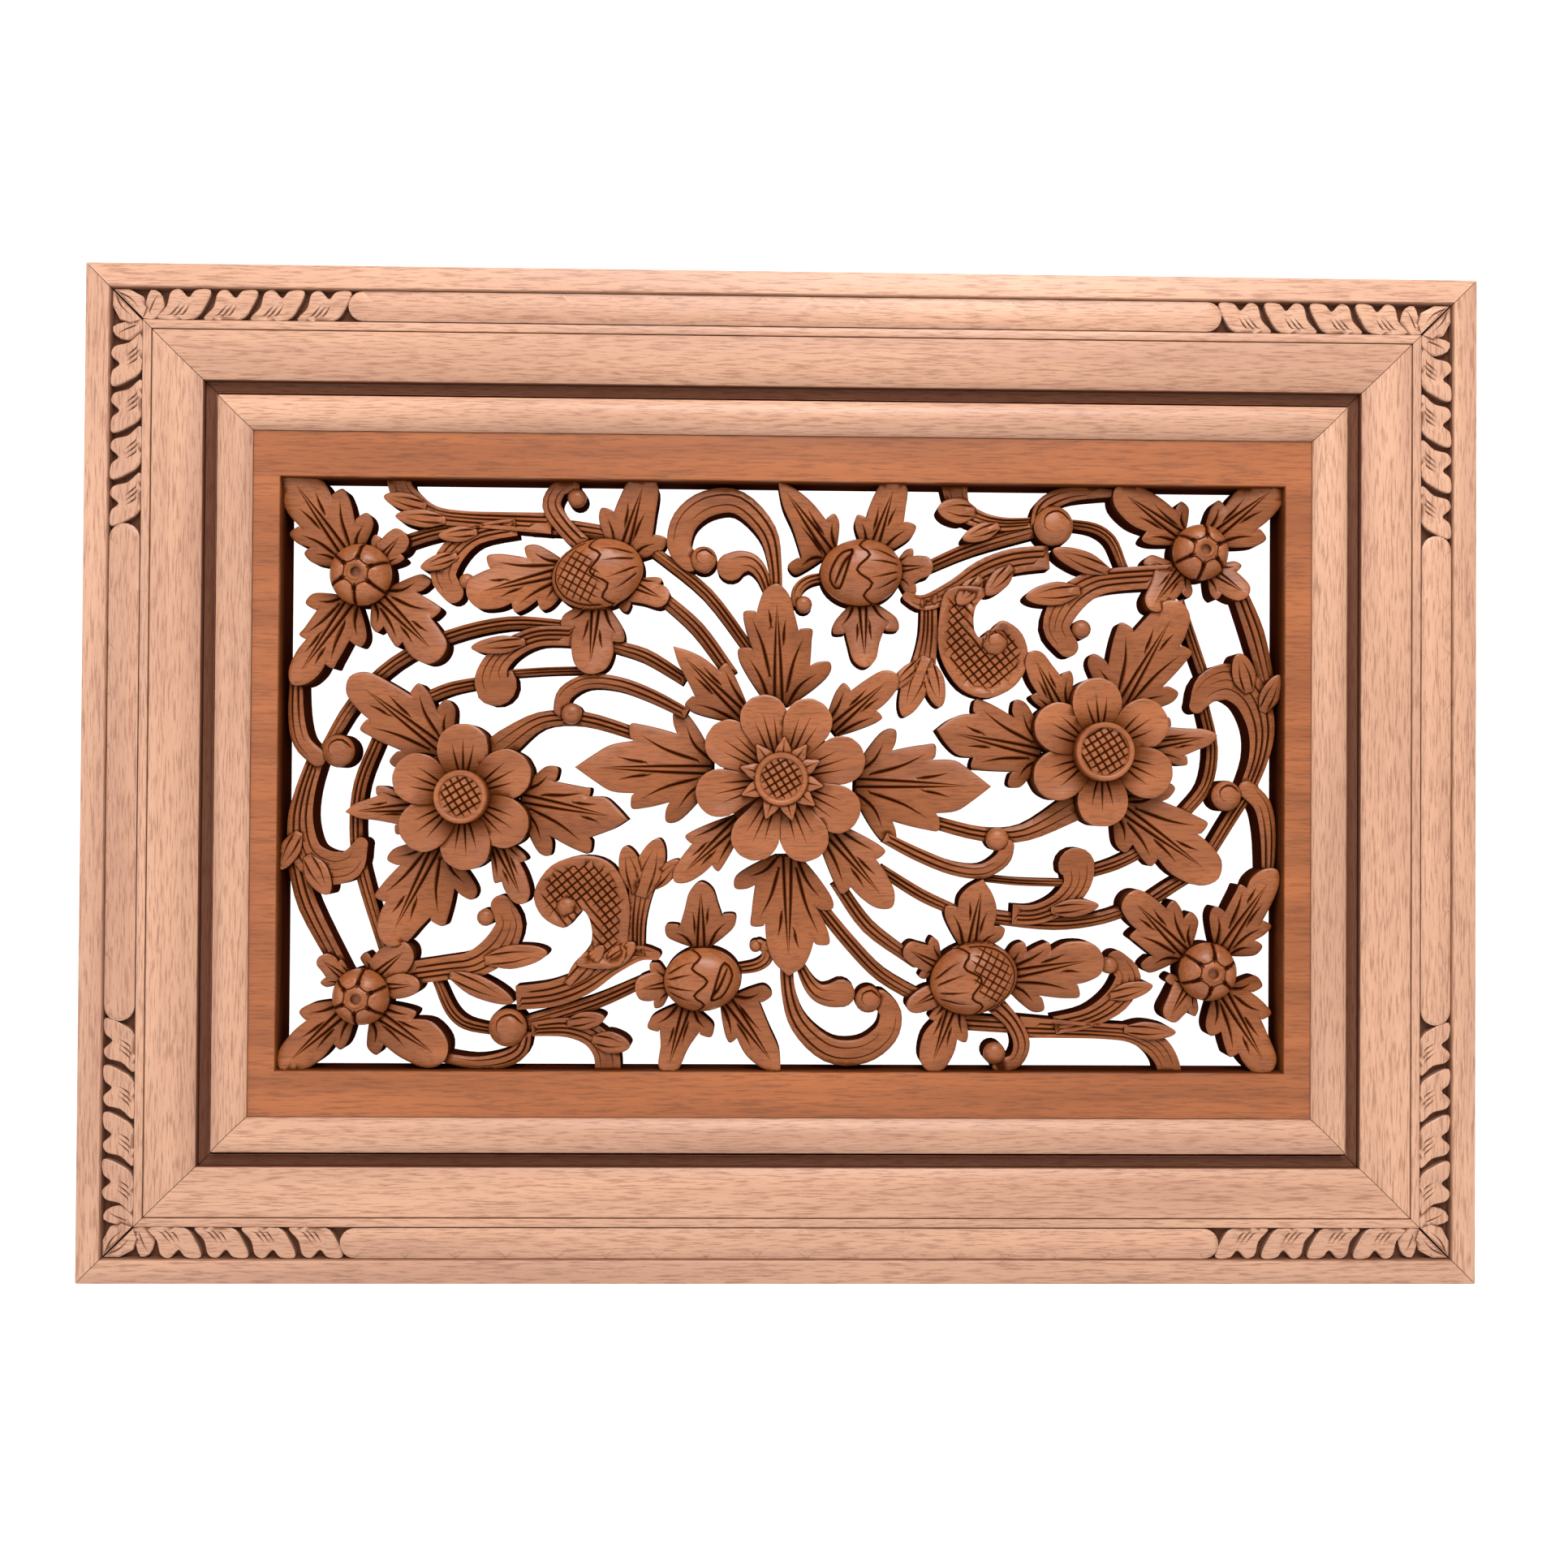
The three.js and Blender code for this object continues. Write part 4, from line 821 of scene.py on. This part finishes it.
def addBud(x, y, length, width, angle, hatched):
    turn = math.radians(angle)
    place, local = placer([x, y], [x + math.cos(turn), y + math.sin(turn)])[1:]

    def share(points):
        at = local(points)
        return np.sqrt((at[:, 0] / length) ** 2 + (at[:, 1] / width) ** 2)

    def level(points):
        return heights["bud"] + 12.5 * np.clip(1 - share(points) ** 2.4, 0, 1) ** 0.55

    cuts = []
    guides = []
    tips = [[-1.5, -0.93], [2.5, -0.72], [-2.5, -0.42], [5, 0.0], [-2.5, 0.42], [2.5, 0.72], [-1.5, 0.93]]
    scallops = spline([[a - 2, s * width] for a, s in tips], 4)
    cuts.append(groove(place(scallops), 0.8, 1.1, 1, 1))
    for s in (-0.62, -0.25, 0.25, 0.62):
        seam = [
            [-0.8 * length, s * width * 0.5],
            [-0.45 * length, s * width * 0.85],
            [-0.16 * length, s * width],
        ]
        cuts.append(groove(place(spline(seam, 4)), 0.8, 0.9, 0.9))
    if hatched:
        def openField(line):
            at = local(line)
            return (at[:, 0] > 1.5 - 2.5 * np.cos(np.abs(at[:, 1]) * 3.6 / width)) & (share(line) < 0.86)
        cuts += hatching(x, y, length, 3.7, turn + math.radians(45), 0.65, 0.8, openField)
        edge = [[length * 0.9 * math.cos(t), width * 0.9 * math.sin(t)] for t in np.linspace(-1.45, 1.45, 14)]
        cuts.append(groove(place(edge), 0.7, 0.9, 1, 1))
    else:
        almond = spline([[4, -0.62 * width], [0.5 * length, -0.5 * width], [0.78 * length, 0.1 * width],
                         [0.6 * length, 0.5 * width], [0.42 * length, 0.1 * width], [4, -0.62 * width]], 4)
        cuts.append(groove(place(almond), 0.9, 1.3, 1, 1))
        fold = [[4, -0.5 * width], [0.4 * length, -0.28 * width], [0.66 * length, 0.3 * width]]
        cuts.append(groove(place(spline(fold, 5)), 1.3, 1.4, 0.6, 0.6))
    outline = place([[length * math.cos(t), width * math.sin(t)] for t in np.arange(44) * 2 * math.pi / 44])
    addForm(outline, level, cuts, spacing=2.8, rounding=0.2, rings=(0.35, 1.1))


commaLook = {"rim": 3.6, "sink": 1.6, "pitch": 3.7, "turn": 40, "lineWidth": 0.7, "lineDepth": 0.9}


def addComma(points):
    outline = spline(points, 4, True)
    closed = np.vstack([outline, outline[:1]])
    rim = commaLook["rim"]

    def away(spots):
        return alongLine(spots, closed)[0]

    def level(spots):
        inward = np.clip((away(spots) - rim) / 0.6, 0, 1)
        return heights["comma"] - commaLook["sink"] * inward

    middle = outline.mean(0)
    reach = np.linalg.norm(outline - middle, axis=1).max()

    def field(line):
        return insidePolygon(line, outline) & (away(line) > rim + 1.0)

    turn = math.radians(commaLook["turn"])
    cuts = hatching(*middle, reach, commaLook["pitch"], turn, commaLook["lineWidth"], commaLook["lineDepth"], field)
    heading = np.roll(outline, -1, 0) - np.roll(outline, 1, 0)
    heading /= np.linalg.norm(heading, axis=1)[:, None]
    inward = np.stack([-heading[:, 1], heading[:, 0]], 1)
    guides = []
    for inset in (rim, rim + 0.6):
        line = outline + inward * inset
        line = line[away(line) > inset - 0.15]
        guides.append(np.vstack([line, line[:1]]))
    addForm(outline, level, cuts, spacing=3.2)


for values in centreLeaves + leftFlowerLeaves + rightFlowerLeaves + cornerBerryLeaves + budLeaves:
    addLeaf(*values)
for points in stems:
    addBand(points, heights["stem"], -0.8, [[-0.34, 0, 1], [0.34, 0, 1]], 0.8, 1.2, 5)
for points in curls:
    addBand(points, heights["curl"], -0.6, [[-0.42, 0, 0.85], [0.4, 0, 0.7]])
for points, leaflets in scrolls:
    addBand(points, heights["scroll"], 1.0, [[-0.55, 0, 0.9], [-0.1, 0, 0.8], [0.4, 0.1, 0.9]])
    for base, tip, width in leaflets:
        addLeaflet(base, tip, width)
for points in commas:
    addComma(points)
for x, y, radius in curlBalls:
    addBall(x, y, radius)
for flower in flowers:
    for angle in flower["angles"]:
        addPetal(flower["middle"], angle, flower["reach"], flower["halfWidth"], flower["disc"])
    calyx = circle(*flower["middle"], 0.68 * flower["reach"], 40)
    # the calyx under the petals gets painted shade with stain all over
    addForm(calyx, even(heights["calyx"]), spacing=6, shade=even(shades["calyx"]))
    addDisc(*flower["middle"], flower["disc"])
for angle in starAngles:
    addStar(flowers[0]["middle"], angle)
for x, y, radius in berries:
    addBerry(x, y, radius)
for i, bud in enumerate(buds):
    addBud(*bud, i < 2)
print("forms carved", len(forms))


# the carved board


def meshOf(name, spots, faces):
    mesh = bpy.data.meshes.new(name)
    mesh.from_pydata(toRow(spots), [], faces)
    return mesh


def combine(first, others, operation):
    # joins or cuts meshes, and returns the new mesh
    group = bpy.data.collections.new("others")
    bpy.context.scene.collection.children.link(group)
    objects = [bpy.data.objects.new(mesh.name, mesh) for mesh in [first] + others]
    bpy.context.scene.collection.objects.link(objects[0])
    for other in objects[1:]:
        group.objects.link(other)
    step = objects[0].modifiers.new("combine", "BOOLEAN")
    step.operation = operation
    step.solver = "MANIFOLD"
    step.operand_type = "COLLECTION"
    step.collection = group
    evaluated = objects[0].evaluated_get(bpy.context.evaluated_depsgraph_get())
    made = bpy.data.meshes.new_from_object(evaluated)
    for item in objects:
        bpy.data.objects.remove(item)
    bpy.data.collections.remove(group)
    return made


def rectangles(steps):
    # a closed form from rectangles [half width, half height, z], each joined to the next,
    # and the last to the first
    spots = []
    for halfWidth, halfHeight, z in steps:
        for x, y in ((-1, -1), (1, -1), (1, 1), (-1, 1)):
            spots.append([x * halfWidth, y * halfHeight, z])
    count = len(steps)
    faces = []
    for i in range(count):
        this, other = 4 * i, 4 * ((i + 1) % count)
        for k in range(4):
            n = (k + 1) % 4
            faces.append((this + k, this + n, other + n, other + k))
    return spots, faces


board = {
    "edge": 62.1,  # from the panel's outer edge to the board's
    "marginEdge": 81.3,
    "rebateLevel": 15,
    "marginLevel": 22,
    "opening": [255.5, 150],
}
halfWide, halfHigh = panelWidth / 2, panelHeight / 2
openWide, openHigh = board["opening"]
steps = [
    [halfWide - board["edge"], halfHigh - board["edge"], 0],
    [halfWide - board["edge"], halfHigh - board["edge"], board["rebateLevel"]],
    [halfWide - board["marginEdge"], halfHigh - board["marginEdge"], board["rebateLevel"]],
    [halfWide - board["marginEdge"], halfHigh - board["marginEdge"], board["marginLevel"]],
    [openWide + 0.9, openHigh + 0.9, board["marginLevel"]],
    [openWide + 0.25, openHigh + 0.25, board["marginLevel"] - 0.25],
    [openWide, openHigh, board["marginLevel"] - 0.9],
    [openWide, openHigh, 0],
]
frameSpots, frameFaces = rectangles(steps)
boardMesh = meshOf("board", frameSpots, frameFaces)
formMeshes = [meshOf("form", spots, faces) for spots, faces, stainAndShade in forms]
slab = [halfWide - 40, halfHigh - 40]
slabSpots, slabFaces = rectangles([[*slab, 0], [*slab, railDepth + 3]])
slabFaces = slabFaces[:4] + [(3, 2, 1, 0), (4, 5, 6, 7)]
relief = combine(boardMesh, formMeshes, "UNION")
relief = combine(relief, [meshOf("slab", slabSpots, slabFaces)], "INTERSECT")


# stain and painted shade on the corners: where forms meet, at the very back and on walls it is painted shade as
# well as stain
stainingAndShading = {
    "reach": 2e-5,  # metres within which a corner belongs to a form's own point
    "whereFormsMeet": 0.75,
    "low": 0.5,  # at the very back, on a face that is no wall
    "wall": [0.45, 0.35],  # on a wall: at the height called lowest, and at least
    "wallFade": 18,  # how many millimetres below that add 1
    "steep": 0.2,  # a face whose normal leans further than this is a wall
}


def stainAndShadeCorners(mesh, forms, lowest):
    # how dark each face corner is from stain and painted shade: deep in a cut, on a wall, or where two forms meet
    tree = kdtree.KDTree(sum(len(spots) for spots, faces, stainAndShade in forms))
    values = []
    for spots, faces, stainAndShade in forms:
        for spot, value in zip(toRow(spots), stainAndShade):
            tree.insert(spot, len(values))
            values.append(value)
    tree.balance()
    co = np.zeros(len(mesh.vertices) * 3, np.float32)
    mesh.vertices.foreach_get("co", co)
    co = co.reshape(-1, 3)
    atVertex = np.zeros(len(co))
    # a corner that no form's own point owns lies where forms meet, and gets painted shade there
    for i, spot in enumerate(co):
        found = tree.find(spot)
        atVertex[i] = values[found[1]] if found[2] < stainingAndShading["reach"] else stainingAndShading["whereFormsMeet"]
    height = -co[:, 1] / mm
    # painted shade, darker the nearer the back
    low = np.clip((lowest - height) / lowest, 0, 1) * stainingAndShading["low"]
    normals = np.zeros(len(mesh.polygons) * 3, np.float32)
    mesh.polygons.foreach_get("normal", normals)
    steep = -normals.reshape(-1, 3)[:, 1]
    totals = np.zeros(len(mesh.polygons), np.int32)
    mesh.polygons.foreach_get("loop_total", totals)
    corners = np.zeros(len(mesh.loops), np.int32)
    mesh.loops.foreach_get("vertex_index", corners)
    # walls get painted shade with stain, darker the lower they lie
    wall = np.repeat(steep < stainingAndShading["steep"], totals)
    start, least = stainingAndShading["wall"]
    onWall = np.clip(start + (lowest - height[corners]) / stainingAndShading["wallFade"], least, 1)
    value = np.where(wall, onWall, np.maximum(atVertex, low)[corners])
    layer = mesh.attributes.new("stainAndShade", "FLOAT", "CORNER")
    layer.data.foreach_set("value", value.astype(np.float32))


def showPiece(name, mesh, material, node, sharp=38):
    mesh.polygons.foreach_set("use_smooth", [True] * len(mesh.polygons))
    mesh.set_sharp_from_angle(angle=math.radians(sharp))
    mesh.materials.clear()
    mesh.materials.append(material)
    piece = bpy.data.objects.new(name, mesh)
    mesh.name = name
    bpy.context.scene.collection.objects.link(piece)
    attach(piece, "root")
    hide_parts(node)


# the wood


def linear(code):
    values = [int(code[i : i + 2], 16) / 255 for i in (1, 3, 5)]
    return [v / 12.92 if v <= 0.04045 else ((v + 0.055) / 1.055) ** 2.4 for v in values] + [1]


def addNode(tree, kind, settings=None, values=None, links=None):
    node = tree.nodes.new(kind)
    for name, value in (settings or {}).items():
        setattr(node, name, value)
    for name, value in (values or {}).items():
        node.inputs[name].default_value = value
    for name, source in (links or {}).items():
        tree.links.new(source, node.inputs[name])
    return node


def addRamp(tree, source, stops):
    node = addNode(tree, "ShaderNodeValToRGB", links={"Fac": source})
    ramp = node.color_ramp
    for i, (place, colour) in enumerate(stops):
        element = ramp.elements[i] if i < 2 else ramp.elements.new(place)
        element.position = place
        element.color = colour
    return node.outputs["Color"]


def mixColours(tree, share, first, second):
    node = addNode(tree, "ShaderNodeMix", {"data_type": "RGBA", "blend_type": "MIX"})
    for socket, value in ((0, share), (6, first), (7, second)):
        if isinstance(value, bpy.types.NodeSocket):
            tree.links.new(value, node.inputs[socket])
        else:
            node.inputs[socket].default_value = value
    return node.outputs[2]


def makeWood(name, look, grainAlong):
    material = bpy.data.materials.new(name)
    material.use_nodes = True
    tree = material.node_tree
    tree.nodes.clear()
    place = addNode(tree, "ShaderNodeTexCoord").outputs["Object"]
    # stretched along the grain, so that a scale of 1 is one turn of the pattern in a millimetre across it
    stretch = [1000, 1000, 1000]
    stretch["xz".index(grainAlong) * 2] = 1000 / look["grainLength"]
    mapping = addNode(tree, "ShaderNodeMapping", values={"Scale": stretch}, links={"Vector": place})
    grain = {"Vector": mapping.outputs[0]}
    values = {"Scale": 1 / look["pore"], "Detail": 3, "Roughness": 0.6}
    pores = addNode(tree, "ShaderNodeTexNoise", values=values, links=grain).outputs["Fac"]
    values = {"Scale": 1 / look["figure"], "Detail": 3, "Roughness": 0.55}
    figure = addNode(tree, "ShaderNodeTexNoise", values=values, links=grain).outputs["Fac"]
    tone = addRamp(tree, figure, [(0.32, linear(look["deep"])), (0.68, linear(look["pale"]))])
    poreShare = addRamp(tree, pores, [(0.36, (1, 1, 1, 1)), (0.52, (0, 0, 0, 1))])
    values = {1: look["poreDepth"]}
    poreAmount = addNode(tree, "ShaderNodeMath", {"operation": "MULTIPLY"}, values, {0: poreShare})
    wood = mixColours(tree, poreAmount.outputs[0], tone, linear(look["poreColour"]))
    # darkened toward the stain colour by stain and painted shade, with less gloss there
    stainAndShade = addNode(tree, "ShaderNodeAttribute", {"attribute_name": "stainAndShade"}).outputs["Fac"]
    stainedAndShaded = addRamp(tree, stainAndShade, [(0.0, (0, 0, 0, 1)), (look["stainAndShadeFull"], (1, 1, 1, 1))])
    colour = mixColours(tree, stainedAndShaded, wood, linear(look["stainAndShade"]))
    values = {"Strength": look["bump"], "Distance": 0.0003}
    bump = addNode(tree, "ShaderNodeBump", values=values, links={"Height": pores}).outputs[0]
    values = {"From Max": 0.5, "To Min": look["gloss"], "To Max": 0.0}
    gloss = addNode(tree, "ShaderNodeMapRange", values=values, links={"Value": stainAndShade}).outputs[0]
    shader = addNode(tree, "ShaderNodeBsdfPrincipled", values={"Roughness": look["roughness"]},
                     links={"Base Color": colour, "Normal": bump, "Specular IOR Level": gloss})
    addNode(tree, "ShaderNodeOutputMaterial", links={"Surface": shader.outputs[0]})
    return material


# oiled hardwood, dark in the cuts from stain and painted shade
carvedLook = {
    "grainLength": 14,
    "pore": 0.9,
    "figure": 16,
    "deep": "#77401e",
    "pale": "#8f512a",
    "poreColour": "#4a2413",
    "poreDepth": 0.45,
    "stainAndShade": "#2a0d05",
    "stainAndShadeFull": 0.8,
    "bump": 0.25,
    "roughness": 0.38,
    "gloss": 0.35,
}
# the same wood, paler, with the sheen of the flat rails painted into its colour
railLook = {
    "grainLength": 14,
    "pore": 0.8,
    "figure": 22,
    "deep": "#9b735d",
    "pale": "#b2886e",
    "poreColour": "#6d3f2a",
    "poreDepth": 0.55,
    "stainAndShade": "#3a150a",
    "stainAndShadeFull": 0.9,
    "bump": 0.25,
    "roughness": 0.42,
    "gloss": 0.35,
}
carvedWood = makeWood("oiled_carved_hardwood", carvedLook, "x")
railWood = {
    "x": makeWood("pale_hardwood_painted_sheen_level", railLook, "x"),
    "z": makeWood("pale_hardwood_painted_sheen_upright", railLook, "z"),
}
plain = (frameSpots, frameFaces, [0.0] * len(frameSpots))
stainAndShadeCorners(relief, forms + [plain], 20)
showPiece("carved_board", relief, carvedWood, "carved_panel")
print("carved board", sum(len(p.vertices) - 2 for p in relief.polygons), "triangles")

# rails and beads

rail = {
    "gap": 0.3,  # between pieces that meet
    "ornament": [12.8, 27],  # the carved channel, from the outer edge
    "ground": 25,
    "heartPitch": 23.3,
    "hearts": 4,
    "firstHeart": 38,  # from the panel's outer corner
    "barStart": 130,
    "cornerLeafLevel": 28.6,
    "sideLeafletLevel": 28.3,
    "heartLevel": 28.9,
    "barLevel": 28.5,
}
railProfile = [
    [0, 0], [0, 29.2], [0.25, 29.75], [0.8, 30], [11.2, 30], [11.5, 29.8], [12.1, 28.3], [12.8, 25],
    [27, 25], [27.8, 28.4], [28.2, 28.8], [28.5, 28.9], [31.7, 28.9], [32.1, 28.7], [32.4, 27.6],
    [32.7, 28.3], [33.2, 28.6], [40, 28.6], [44, 28.3], [48, 27.6], [52, 26.3], [55, 24.9], [56.2, 24.1],
    [56.5, 23.4], [56.5, 20], [61.5, 20], [61.8, 19.7], [61.8, 0],
]
# how dark stain and painted shade lie at some distances from the outer edge: in the channel, the V line and the
# step
railStainAndShade = {12.1: 0.6, 12.8: 0.8, 27: 0.8, 32.4: 1, 56.5: 0.7, 61.5: 0.8}
beadProfile = [
    [63.8, 15.3], [63.8, 24], [64.2, 24.9], [66, 26.2], [68, 27], [70, 27.3], [72.5, 27.3], [75, 26.8],
    [77, 26], [79, 24.8], [80.4, 23.6], [81, 22.6], [81, 15.3],
]


def moulding(section, halfLength):
    slack = rail["gap"] / math.sqrt(2)
    profile = section[::-1]
    count = len(profile)
    spots = [[side * (halfLength - u - slack), -u, z] for side in (-1, 1) for u, z in profile]
    faces = [(i, count + i, count + (i + 1) % count, (i + 1) % count) for i in range(count)]
    flat = [Vector(p) for p in profile]
    edges = [(i, (i + 1) % count) for i in range(count)]
    for a, b, c in geometry.delaunay_2d_cdt(flat, edges, [list(range(count))], 1, 1e-6)[2]:
        turned = (flat[b] - flat[a]).cross(flat[c] - flat[a])
        if turned < 0:
            b, c = c, b
        faces += [(a, b, c), (count + a, count + c, count + b)]
    return spots, faces


def placed(spots, turn, distance):
    c, s = math.cos(turn), math.sin(turn)
    return [[x * c - y * s - s * distance, x * s + y * c + c * distance, z] for x, y, z in spots]


heartOutline = [
    [-3, 27.6], [1.5, 21], [3.5, 14.2], [8, 12.3], [12.2, 16.2], [16, 12.8], [23.4, 12.9], [21, 20.5],
    [14.5, 27.6],
]
cornerLeafOutline = [[13.3, 13], [21, 12.8], [28, 16.5], [30, 22], [27.3, 27]]
sideLeafletOutline = [[27.6, 27], [29.2, 18.5], [31.5, 12.9], [36, 14.2], [38.3, 20], [37, 27.4]]


def ornament(halfLength):
    made = []
    outer, inner = rail["ornament"]
    ground = rail["ground"] - 5
    for side in (-1, 1):
        def across(points):
            # from [distance from the corner, distance from the outer edge] to the rail
            return np.array([[side * (halfLength - a), -u] for a, u in points])

        def form(points, level, lines, smooth=2):
            outline = across(spline(points, smooth, True))
            area = sum(p[0] * q[1] - p[1] * q[0] for p, q in zip(outline, np.roll(outline, -1, 0)))
            if area < 0:
                outline = outline[::-1]
            cuts = [groove(across(spline(line, 3)), 0.55, 0.8, 0.8) for line in lines]
            made.append(carve(outline, level, cuts, spacing=3, rounding=0.5, rings=(0.5,), floor=ground))

        slack = rail["gap"] / math.sqrt(2)
        corner = [[max(a, u + slack + 0.4), u] for a, u in cornerLeafOutline]
        corner.append([27 + slack + 0.4, 26.8])
        form(corner, even(rail["cornerLeafLevel"]), [[[16, 14.5], [22, 17.5], [26.5, 23]]], 1)
        form(sideLeafletOutline, even(rail["sideLeafletLevel"]), [[[31, 24], [33.5, 18], [36, 15]]])
        for i in range(rail["hearts"]):
            root = rail["firstHeart"] + i * rail["heartPitch"]
            heart = [[root + a, u] for a, u in heartOutline]
            lines = [
                [[root + 4 + k * 2.7, 25.2], [root + 6.3 + k * 2.5, 22.6], [root + 8.6 + k * 2.3, 19.6]]
                for k in (0, 1, 2)
            ]
            dip = rail["heartLevel"] - 0.25 * (i % 2)

            def level(p, root=root, dip=dip):
                along = halfLength - side * p[:, 0] - root
                fold = 0.9 * np.clip(1 - np.abs(along - 11.5) / 9, 0, 1) ** 2
                return dip - fold - 0.4 * np.clip((5 - along) / 5, 0, 1)

            form(heart, level, lines, 4)
    reach = halfLength - rail["barStart"]
    middle = (outer + inner) / 2
    halfWidth = (inner - outer) / 2 + 0.4
    turns = np.linspace(-math.pi / 2, math.pi / 2, 13)
    right = np.stack([reach - halfWidth + halfWidth * np.cos(turns), -middle + halfWidth * np.sin(turns)], 1)
    lengthwise = np.linspace(-reach + halfWidth, reach - halfWidth, int(reach / 12))
    lower = np.stack([lengthwise[1:-1], np.full(len(lengthwise) - 2, -middle - halfWidth)], 1)
    upper = lower[::-1] + [0, 2 * halfWidth]
    bar = np.vstack([right, upper, [[-x, y] for x, y in right[::-1]], lower])
    spine = [[reach - halfWidth, -middle], [halfWidth - reach, -middle]]

    def barLevel(p):
        distance = alongLine(p, np.array(spine))[0]
        return rail["barLevel"] + np.sqrt(np.clip(1 - (distance / (halfWidth + 0.6)) ** 2, 0, 1))

    made.append(carve(bar, barLevel, [], spacing=4.5, rounding=0.5, rings=(0.6, 2.2), floor=ground))
    return made


# side, half its length, its distance from the middle, and its turn
sides = [
    ("top", halfWide, halfHigh, 0),
    ("left", halfHigh, halfWide, math.pi / 2),
    ("bottom", halfWide, halfHigh, math.pi),
    ("right", halfHigh, halfWide, -math.pi / 2),
]
for side, halfLength, distance, turn in sides:
    upright = side in ("left", "right")
    wood = railWood["z" if upright else "x"]
    spots, faces = moulding(railProfile, halfLength)
    body = meshOf("rail", placed(spots, turn, distance), faces)
    parts = [(placed(s, turn, distance), f, stainAndShade) for s, f, stainAndShade in ornament(halfLength)]
    made = combine(body, [meshOf("part", s, f) for s, f, stainAndShade in parts], "UNION")
    stainsAndShades = [railStainAndShade.get(u, 0) for u, z in railProfile[::-1]] * 2
    parts.append((placed(spots, turn, distance), faces, stainsAndShades))
    stainAndShadeCorners(made, parts, 28)
    node = f"{side}_{'stile' if upright else 'rail'}"
    showPiece(f"{node}_wood", made, wood, node, 30)
    spots, faces = moulding(beadProfile, halfLength)
    bead = meshOf("bead", placed(spots, turn, distance), faces)
    bead.attributes.new("stainAndShade", "FLOAT", "CORNER")
    showPiece(f"{side}_bead_wood", bead, wood, f"{side}_bead", 30)
    print(node, sum(len(p.vertices) - 2 for p in made.polygons), "triangles")

# floor, light and camera

stage = {
    "floorDrop": 0.35,
    "floorSize": 14,
    "floorColour": "#f6f6f6",
    "worldLight": 1.15,
    # power, size and place from the panel's middle
    "key": [34, 1.0, [0.15, -1.1, 1.25]],
    "fill": [6, 1.2, [-1.3, -1.2, 0.2]],
}
floorMesh = bpy.data.meshes.new("floor")
half, level = stage["floorSize"] / 2, cadLow[2] - stage["floorDrop"]
floorCorners = [(x * half, y * half, level) for x, y in ((-1, -1), (1, -1), (1, 1), (-1, 1))]
floorMesh.from_pydata(floorCorners, [], [(0, 1, 2, 3)])
floor = bpy.data.objects.new("floor", floorMesh)
bpy.context.scene.collection.objects.link(floor)
paint = bpy.data.materials.new("pale_matt_floor")
paint.use_nodes = True
paint.node_tree.nodes["Principled BSDF"].inputs["Base Color"].default_value = linear(stage["floorColour"])
paint.node_tree.nodes["Principled BSDF"].inputs["Roughness"].default_value = 0.9
floorMesh.materials.append(paint)

world = bpy.data.worlds.new("studio")
bpy.context.scene.world = world
world.use_nodes = True
world.node_tree.nodes["Background"].inputs["Color"].default_value = (1, 1, 1, 1)
world.node_tree.nodes["Background"].inputs["Strength"].default_value = stage["worldLight"]


def addLight(name, energy, size, place, target):
    data = bpy.data.lights.new(name, "AREA")
    data.energy = energy
    data.size = size
    lamp = bpy.data.objects.new(name, data)
    lamp.location = place
    lamp.rotation_euler = (Vector(target) - Vector(place)).to_track_quat("-Z", "Y").to_euler()
    bpy.context.scene.collection.objects.link(lamp)


centre = Vector((0, 0, middleHeight))
for name in ("key", "fill"):
    energy, size, (x, y, z) = stage[name]
    addLight(name, energy, size, (x, y, middleHeight + z), centre)

lens = {"length": 31.62, "place": [-12.44, -10.33, 720], "tilt": [0.00907, -0.01777, 0.00648]}
camera = bpy.data.objects.new("camera", bpy.data.cameras.new("camera"))
camera.data.lens = lens["length"]
tiltX, tiltY, tiltZ = (Matrix.Rotation(angle, 3, axis) for angle, axis in zip(lens["tilt"], "XYZ"))
tilt = tiltZ @ tiltY @ tiltX
upright = Matrix.Rotation(math.pi / 2, 3, "X")
camera.matrix_world = Matrix.Translation(toRow([lens["place"]])[0]) @ (upright @ tilt).to_4x4()
bpy.context.scene.collection.objects.link(camera)
bpy.context.scene.camera = camera
bpy.context.scene.view_settings.view_transform = "Standard"

print("stage ready")
